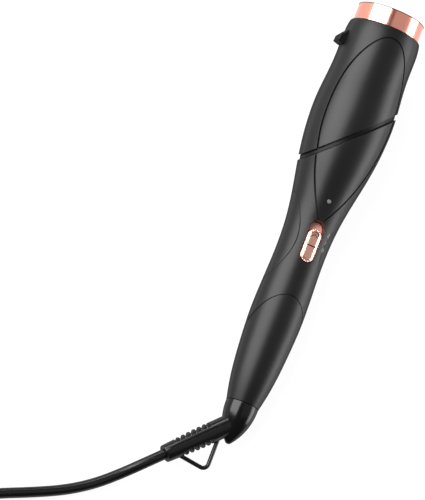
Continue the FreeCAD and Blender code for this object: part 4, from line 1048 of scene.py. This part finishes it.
# A rib on the boot's tapered end shrinks with it.
TAPERED: Steps = (
    ("Past", "SUBTRACT", "Z", "Taper Start"),
    ("Past", "MAXIMUM", "Past", 0.0),
    ("Past", "MULTIPLY", "Past", "Taper"),
    ("Shrink", "SUBTRACT", 1.0, "Past"),
)
# A flat outline is laid over the slider's crown, a cylinder along Y.
OVER_CROWN: Steps = (
    ("Crown", "MULTIPLY", "Crown", "Crown"),
    ("Z", "MULTIPLY", "X", "X"),
    ("Z", "SUBTRACT", "Crown", "Z"),
    ("Z", "SQRT", "Z"),
)


class Side(Enum):
    """The two sides of the cord relief that have ribs."""

    OUTER = 1
    INNER = -1


@dataclass
class CordRelief:
    """The soft tapered boot on the cord, with rounded ribs in turn on its two sides."""

    resting: RestingPlace
    depth_mm: float = 290.0
    lean_deg: float = 43.4
    root_mm: float = 5.0
    length_mm: float = 54.0
    taper_mm: float = 26.0
    root_radius_mm: float = 6.9
    end_radius_mm: float = 5.85
    edge_mm: float = 0.5
    end_wall_mm: float = 0.04
    # Where the rings of the rounded edges lie, as shares of a quarter turn.
    root_steps: tuple[float, ...] = (0.3, 1.0)
    end_steps: tuple[float, ...] = (0.0, 0.3, 0.6, 0.85, 1.0)
    pitch_mm: float = 4.06
    first_slot_mm: float = 18.4
    gap_mm: float = 1.7
    spine_mm: float = 8.2
    outer_ribs: int = 6
    inner_ribs: int = 5
    rib_thick_mm: float = 2.15
    rib_proud_mm: float = 0.2
    rib_root: float = 0.3
    rib_half_width: float = 0.82
    seam_side_mm: float = 1.9
    seam_mm: tuple[float, float] = (0.6, 0.45)
    seam_lip_mm: float = 0.1
    seam_margin_mm: float = 5.2
    seam_steps: tuple[int, int] = (3, 9)
    around: int = 120
    sharp_deg: float = 30.0

    def place(self) -> Matrix:
        """Give the relief's own axes: X to the front, Y to the outer side, Z away."""
        lean = math.radians(self.lean_deg)
        away = Vector((-math.sin(lean), -math.cos(lean), 0))
        front = Vector((0, 0, 1))
        turn = Matrix((front, away.cross(front), away)).transposed().to_4x4()
        root = Matrix.Translation(Vector((0, -self.depth_mm * MM, 0)))
        return self.resting.matrix() @ root @ turn

    def radius(self, height: float) -> float:
        """Give the boot's radius at a height, both in millimetres."""
        start = self.length_mm - self.taper_mm
        share = max(0.0, (height - start) / (self.taper_mm - self.edge_mm))
        return self.root_radius_mm + (self.end_radius_mm - self.root_radius_mm) * min(1.0, share)

    def stations(self) -> list[tuple[float, float, bool, bool, bool]]:
        """List the boot's rings: height, what its edge takes off, and what is cut there.

        Returns:
            For each ring its height and inset, then whether the seam, the outer side's
            flat and the inner side's flat are cut there.
        """
        low, high = self.root_mm, self.length_mm
        outer = (self.first_slot_mm, self.first_slot_mm + self.outer_ribs * self.pitch_mm)
        inner = (outer[0] + self.pitch_mm / 2, outer[1] - self.pitch_mm / 2)
        seam = (self.first_slot_mm - self.seam_margin_mm, high - self.seam_margin_mm)
        spans = (seam, (outer[0], outer[1] + self.gap_mm), (inner[0], inner[1] + self.gap_mm))
        marks = sorted({height for span in spans for height in span} | {high - self.taper_mm})
        rings = [(low, self.edge_mm)]
        for share in self.root_steps:
            turn = share * math.pi / 2
            lift, inset = self.edge_mm * (1 - math.cos(turn)), self.edge_mm * (1 - math.sin(turn))
            rings.append((low + lift, inset))
        # A ring just below and one just above each mark make its cut's end wall.
        wall = self.end_wall_mm / 2
        rings += [(height, 0.0) for mark in marks for height in (mark - wall, mark + wall)]
        for share in self.end_steps:
            turn = share * math.pi / 2
            lift, inset = self.edge_mm * (1 - math.sin(turn)), self.edge_mm * (1 - math.cos(turn))
            rings.append((high - lift, inset))
        return [(at, inset, *(start < at < end for start, end in spans)) for at, inset in rings]

    def boot(self) -> Piece:
        """Make the boot as a lathe shape with its two flats and its seam cut in."""
        half_seam, deep = self.seam_mm[0] / 2, self.seam_mm[1]
        lip = half_seam + self.seam_lip_mm
        offsets = (-lip, -half_seam, half_seam, lip)
        # Even steps, but for the stretch where the seam's own four lines go.
        before, after = self.seam_steps
        steps = [step for step in range(self.around) if not before < step < after]
        around = [math.radians(360 * step / self.around) for step in steps]
        rings = []
        for height, inset, seam, outer, inner in self.stations():
            radius = self.radius(height) - inset
            edges = [math.asin((self.seam_side_mm + offset) / radius) for offset in offsets]
            turns = sorted(around + edges)
            ring = []
            for turn in turns:
                reach = radius - (deep if seam and turn in edges[1:3] else 0.0)
                y = reach * math.sin(turn)
                if outer:
                    y = min(y, self.spine_mm / 2)
                if inner:
                    y = max(y, -self.spine_mm / 2)
                ring.append(Vector((reach * math.cos(turn), y, height)))
            rings.append(ring)
        boot = ring_mesh("relief_boot", rings, self.place(), SOFT_PVC, smooth=True)
        boot.data.set_sharp_from_angle(angle=math.radians(self.sharp_deg))
        return boot

    def rib_tree(self) -> Tree:
        """Build the tree that stands rounded half-discs in a row along the boot."""
        tree = node_group("relief ribs", self.rib_sizes(Side.OUTER))
        ball = add_node(
            tree, "GeometryNodeMeshUVSphere", links={"Segments": 48, "Rings": 16, "Radius": 1.0}
        ).outputs["Mesh"]
        given = formula(tree, TAPERED)
        first, pitch, turn = (
            add_node(tree, "ShaderNodeCombineXYZ", links={"Z": given[name]}).outputs[0]
            for name in ("First", "Pitch", "Turn")
        )
        row = add_node(
            tree, "GeometryNodeMeshLine",
            {"mode": "OFFSET"},
            {"Count": given["Count"], "Start Location": first, "Offset": pitch},
        ).outputs["Mesh"]
        shrink = add_node(
            tree, "ShaderNodeCombineXYZ",
            links={"X": given["Shrink"], "Y": given["Shrink"], "Z": 1.0},
        ).outputs[0]
        stood = add_node(
            tree, "GeometryNodeInstanceOnPoints",
            links={
                "Points": row,
                "Instance": reshape(tree, ball, PRESSED_DISC),
                "Rotation": turn,
                "Scale": shrink,
            },
        ).outputs["Instances"]
        finish_group(tree, stood, given["Material"])
        return tree

    def rib_sizes(self, side: Side) -> Sizes:
        """Give one side's values for the ribs' tree, in metres, radians or plain shares."""
        outer = side is Side.OUTER
        first = self.first_slot_mm + (self.gap_mm + self.pitch_mm) / 2
        slope = (self.root_radius_mm - self.end_radius_mm) / self.taper_mm / self.root_radius_mm
        return {
            "Count": self.outer_ribs if outer else self.inner_ribs,
            "Pitch": self.pitch_mm * MM,
            "First": (first if outer else first + self.pitch_mm / 2) * MM,
            "Thickness": self.rib_thick_mm * MM,
            "Radius": (self.root_radius_mm + self.rib_proud_mm) * MM,
            "Half Width": self.rib_half_width,
            "Root": self.rib_root,
            "Taper": slope / MM,
            "Taper Start": (self.length_mm - self.taper_mm) * MM,
            "Turn": 0.0 if outer else math.pi,
        }

    def build(self) -> None:
        """Make the boot and both rows of ribs, in place of the plain solid."""
        boot = self.boot()
        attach(boot, "cord_end")
        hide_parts("strain_relief")
        tree = self.rib_tree()
        for side in Side:
            name = f"relief_ribs_{side.name.lower()}"
            ribs = grow(name, tree, self.rib_sizes(side), SOFT_PVC, self.place())
            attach(ribs, "cord_end")


@dataclass
class SliderTrim:
    """The slider's polished rim and marks, and the film on the recess's floor."""

    resting: RestingPlace
    depth_mm: float = 166.45
    crown_mm: float = 17.0
    rim_half_mm: tuple[float, float] = (3.55, 10.1)
    wire_mm: float = 0.55
    wire_step_mm: float = 0.6
    bead_half_mm: tuple[float, float] = (4.28, 10.83)
    bead_mm: float = 0.36
    bead_pitch_mm: float = 1.3
    arrow_mm: tuple[float, float, float] = (2.0, 6.4, 7.9)
    bar_half_mm: float = 2.7
    stroke_mm: float = 0.36
    stroke_sunk_mm: float = 0.1
    stroke_steps: int = 4
    film_arc_mm: tuple[float, float, float] = (4.7, 12.25, 8.2)
    film_heights_mm: tuple[float, float] = (12.0, 12.26)
    film_steps: int = 24

    def place(self) -> Matrix:
        """Give the slider's own axes: X across, Y up the styler, Z to the front."""
        return self.resting.matrix() @ Matrix.Translation((0, -self.depth_mm * MM, 0))

    def oval(self, tree: Tree, name: str, pitch: str) -> Socket:
        """Lay an oval of even points over the crown.

        Args:
            tree: the trim's tree.
            name: what the two inputs with the oval's width and length start with.
            pitch: the input with the spacing of its points.

        Returns:
            The oval, as a curve.
        """
        given = add_node(tree, "NodeGroupInput").outputs
        width = given[f"{name} Width"]
        box = add_node(
            tree, "GeometryNodeCurvePrimitiveQuadrilateral",
            links={"Width": width, "Height": given[f"{name} Length"]},
        ).outputs["Curve"]
        # A whisker under half the width keeps the two end arcs from meeting at a point.
        radius = add_node(
            tree, "ShaderNodeMath", {"operation": "MULTIPLY"}, {0: width, 1: 0.499}
        ).outputs["Value"]
        rounded = add_node(
            tree, "GeometryNodeFilletCurve",
            {"mode": "POLY"},
            {"Curve": box, "Count": 12, "Radius": radius},
        ).outputs["Curve"]
        even = add_node(
            tree, "GeometryNodeResampleCurve",
            {"mode": "LENGTH"},
            {"Curve": rounded, "Length": given[pitch]},
        ).outputs["Curve"]
        return reshape(tree, even, OVER_CROWN)

    def tree(self, sizes: Sizes) -> Tree:
        """Build the tree that makes the rim's wire and its row of beads.

        Args:
            sizes: its inputs' first values.

        Returns:
            The tree.
        """
        tree = node_group("slider trim", sizes)
        given = add_node(tree, "NodeGroupInput").outputs
        section = add_node(
            tree, "GeometryNodeCurvePrimitiveCircle",
            links={"Resolution": 12, "Radius": given["Wire"]},
        ).outputs["Curve"]
        wire = add_node(
            tree, "GeometryNodeCurveToMesh",
            links={"Curve": self.oval(tree, "Rim", "Wire Step"), "Profile Curve": section},
        ).outputs["Mesh"]
        bead = add_node(
            tree, "GeometryNodeMeshIcoSphere", links={"Radius": given["Bead"], "Subdivisions": 2}
        ).outputs["Mesh"]
        beads = add_node(
            tree, "GeometryNodeInstanceOnPoints",
            links={"Points": self.oval(tree, "Bead", "Bead Pitch"), "Instance": bead},
        ).outputs["Instances"]
        joined = add_node(tree, "GeometryNodeJoinGeometry")
        for shape in (wire, beads):
            tree.links.new(shape, joined.inputs[0])
        finish_group(tree, joined.outputs[0], given["Material"])
        return tree

    def stroke(self, name: str, route: tuple[tuple[float, float], ...]) -> Piece:
        """Make one raised line that follows the slider's crown.

        Args:
            name: the piece's name.
            route: the line's corners, across and up the slider, in millimetres.

        Returns:
            The line, a thin rod half sunk in the pad.
        """
        places = []
        for (x0, y0), (x1, y1) in zip(route, route[1:]):
            for step in range(self.stroke_steps + 1):
                x = x0 + (x1 - x0) * step / self.stroke_steps
                y = y0 + (y1 - y0) * step / self.stroke_steps
                places.append((x, y, math.sqrt(self.crown_mm**2 - x * x) - self.stroke_sunk_mm))
        line = bake(thick_line(name, "POLY", places, self.stroke_mm, 3))
        DARK_BRONZE_AND_SHADE.put_on(line)
        line.data.transform(self.place())
        return line

    def film(self) -> Piece:
        """Lay the lacquer film on the recess's floor beyond the slider's upper end."""
        radius, centre, start = self.film_arc_mm
        arc = [math.pi * step / self.film_steps for step in range(self.film_steps + 1)]
        outline = [(radius * math.cos(turn), centre + radius * math.sin(turn)) for turn in arc]
        outline = [(radius, start), *outline, (-radius, start)]
        rings = [[Vector((x, y, z)) for x, y in outline] for z in self.film_heights_mm]
        return ring_mesh("recess_film", rings, self.place(), ROSE_FILM)

    def build(self) -> None:
        """Make the trim and let it slide with the switch; the film stays in the recess."""
        film = self.film()
        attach(film, "handle")
        sizes = {
            "Crown": self.crown_mm,
            "Rim Width": 2 * self.rim_half_mm[0],
            "Rim Length": 2 * self.rim_half_mm[1],
            "Wire": self.wire_mm,
            "Wire Step": self.wire_step_mm,
            "Bead Width": 2 * self.bead_half_mm[0],
            "Bead Length": 2 * self.bead_half_mm[1],
            "Bead": self.bead_mm,
            "Bead Pitch": self.bead_pitch_mm,
        }
        sizes = {name: size * MM for name, size in sizes.items()}
        # The rim's paler rose gold is a painted highlight.
        trim = grow("slider_trim", self.tree(sizes), sizes, ROSE_RIM_PAINTED_HIGHLIGHT, self.place())
        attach(trim, "switch")
        half, low, high = self.arrow_mm
        bar = self.bar_half_mm
        for name, route in (
            ("slider_arrow", ((-half, low), (0.0, high), (half, low))),
            ("slider_bar", ((-bar, 0.0), (bar, 0.0))),
        ):
            line = self.stroke(name, route)
            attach(line, "switch")


@dataclass
class OutletDarkReflection:
    """A painted dark reflection: a near-black line round the collar's outer edge."""

    resting: RestingPlace
    radius_mm: float = 22.4
    depth_mm: float = 0.4
    wire_mm: float = 0.3
    around: int = 144
    sides: int = 10

    def build(self) -> None:
        """Make the line as a thin hoop, half sunk in the collar."""
        rings = []
        for step in range(self.around):
            turn = 2 * math.pi * step / self.around
            ring = []
            for side in range(self.sides):
                tilt = 2 * math.pi * side / self.sides
                reach = self.radius_mm + self.wire_mm * math.cos(tilt)
                rise = self.wire_mm * math.sin(tilt) - self.depth_mm
                ring.append(Vector((reach * math.cos(turn), rise, reach * math.sin(turn))))
            rings.append(ring)
        place = self.resting.matrix()
        # The hoop paints a dark reflection line on the collar.
        hoop = ring_mesh("collar_dark_reflection_line", rings, place, DARK_REFLECTION_LINE, looped=True, smooth=True)
        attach(hoop, "head")


@dataclass
class SwitchNumerals:
    """The settings 0, 1 and 2, pad-printed beside the slider."""

    resting: RestingPlace
    shell: Piece
    height_mm: float = 2.6
    em_share: float = 1.4
    ink_mm: float = 0.02
    ray_mm: float = 50.0
    settings: tuple[tuple[str, float, float], ...] = (
        ("0", 165.4, 35.0),
        ("1", 160.2, 34.6),
        ("2", 155.0, 33.9),
    )

    def surface(self, depth: float, angle: float) -> Matrix:
        """Find a place on the shell, and the axes that lie flat on it there.

        Args:
            depth: how far down the styler, in millimetres.
            angle: the turn about the styler from the front, in degrees.

        Returns:
            The place, with Y up the styler as near as it can be and Z straight out.
        """
        styler, shell = self.resting.matrix(), self.shell.matrix_world
        turn = styler.to_3x3() @ Matrix.Rotation(math.radians(angle), 3, "Y")
        outside = styler @ Vector((0, -depth * MM, 0)) + turn.col[2] * (self.ray_mm * MM)
        there = shell.inverted()
        _, spot, out, _ = self.shell.ray_cast(there @ outside, there.to_3x3() @ -turn.col[2])
        out = (shell.to_3x3() @ out).normalized()
        across = turn.col[1].cross(out).normalized()
        return axes_at(across, out.cross(across), out, shell @ spot)

    def numeral(self, mark: str, depth: float, angle: float) -> Piece:
        """Print one numeral on the shell.

        Args:
            mark: the numeral.
            depth: how far down the styler it stands, in millimetres.
            angle: its turn about the styler from the front, in degrees.

        Returns:
            The numeral as a thin mesh.
        """
        data = bpy.data.curves.new(f"numeral_{mark}", "FONT")
        data.body = mark
        data.size = self.height_mm * self.em_share * MM
        data.align_x = data.align_y = "CENTER"
        data.extrude = self.ink_mm * MM
        piece = bake(put_in_scene(data.name, data))
        piece.data.transform(self.surface(depth, angle))
        PALE_INK.put_on(piece)
        return piece

    def build(self) -> None:
        """Print all the numerals."""
        for mark, depth, angle in self.settings:
            piece = self.numeral(mark, depth, angle)
            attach(piece, "handle")


# ---------------- dressing the frame
class Dresser:
    """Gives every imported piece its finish."""

    def dress(self, nodes: dict[str, Piece]) -> None:
        """Put the finishes on.

        Args:
            nodes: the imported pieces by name.
        """
        for finish, slot, names in DRESSED:
            for name in names:
                finish.put_on(nodes[name])
                LOG.info("%s: %s", name, finish.name)


@dataclass
class LatchSpring:
    """The bent strip behind the latch."""

    seat_mm: float = -10.23
    travel_mm: float = 2.5

    def build(self, spring: Piece) -> None:
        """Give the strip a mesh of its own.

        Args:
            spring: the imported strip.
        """
        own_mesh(spring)


def main() -> None:
    """Build the camera and cord first, then the pieces."""
    logging.basicConfig(level=logging.INFO, format="%(message)s")
    view = Viewpoint()
    view.build()
    PowerCord().build()
    Studio(view).build()
    Dresser().dress(frame["nodes"])
    LatchSpring().build(frame["nodes"]["latch_spring"])
    resting = RestingPlace()
    CordRelief(resting).build()
    SliderTrim(resting).build()
    OutletDarkReflection(resting).build()
    SwitchNumerals(resting, frame["nodes"]["handle_front_shell"]).build()


if __name__ == "__main__":
    main()
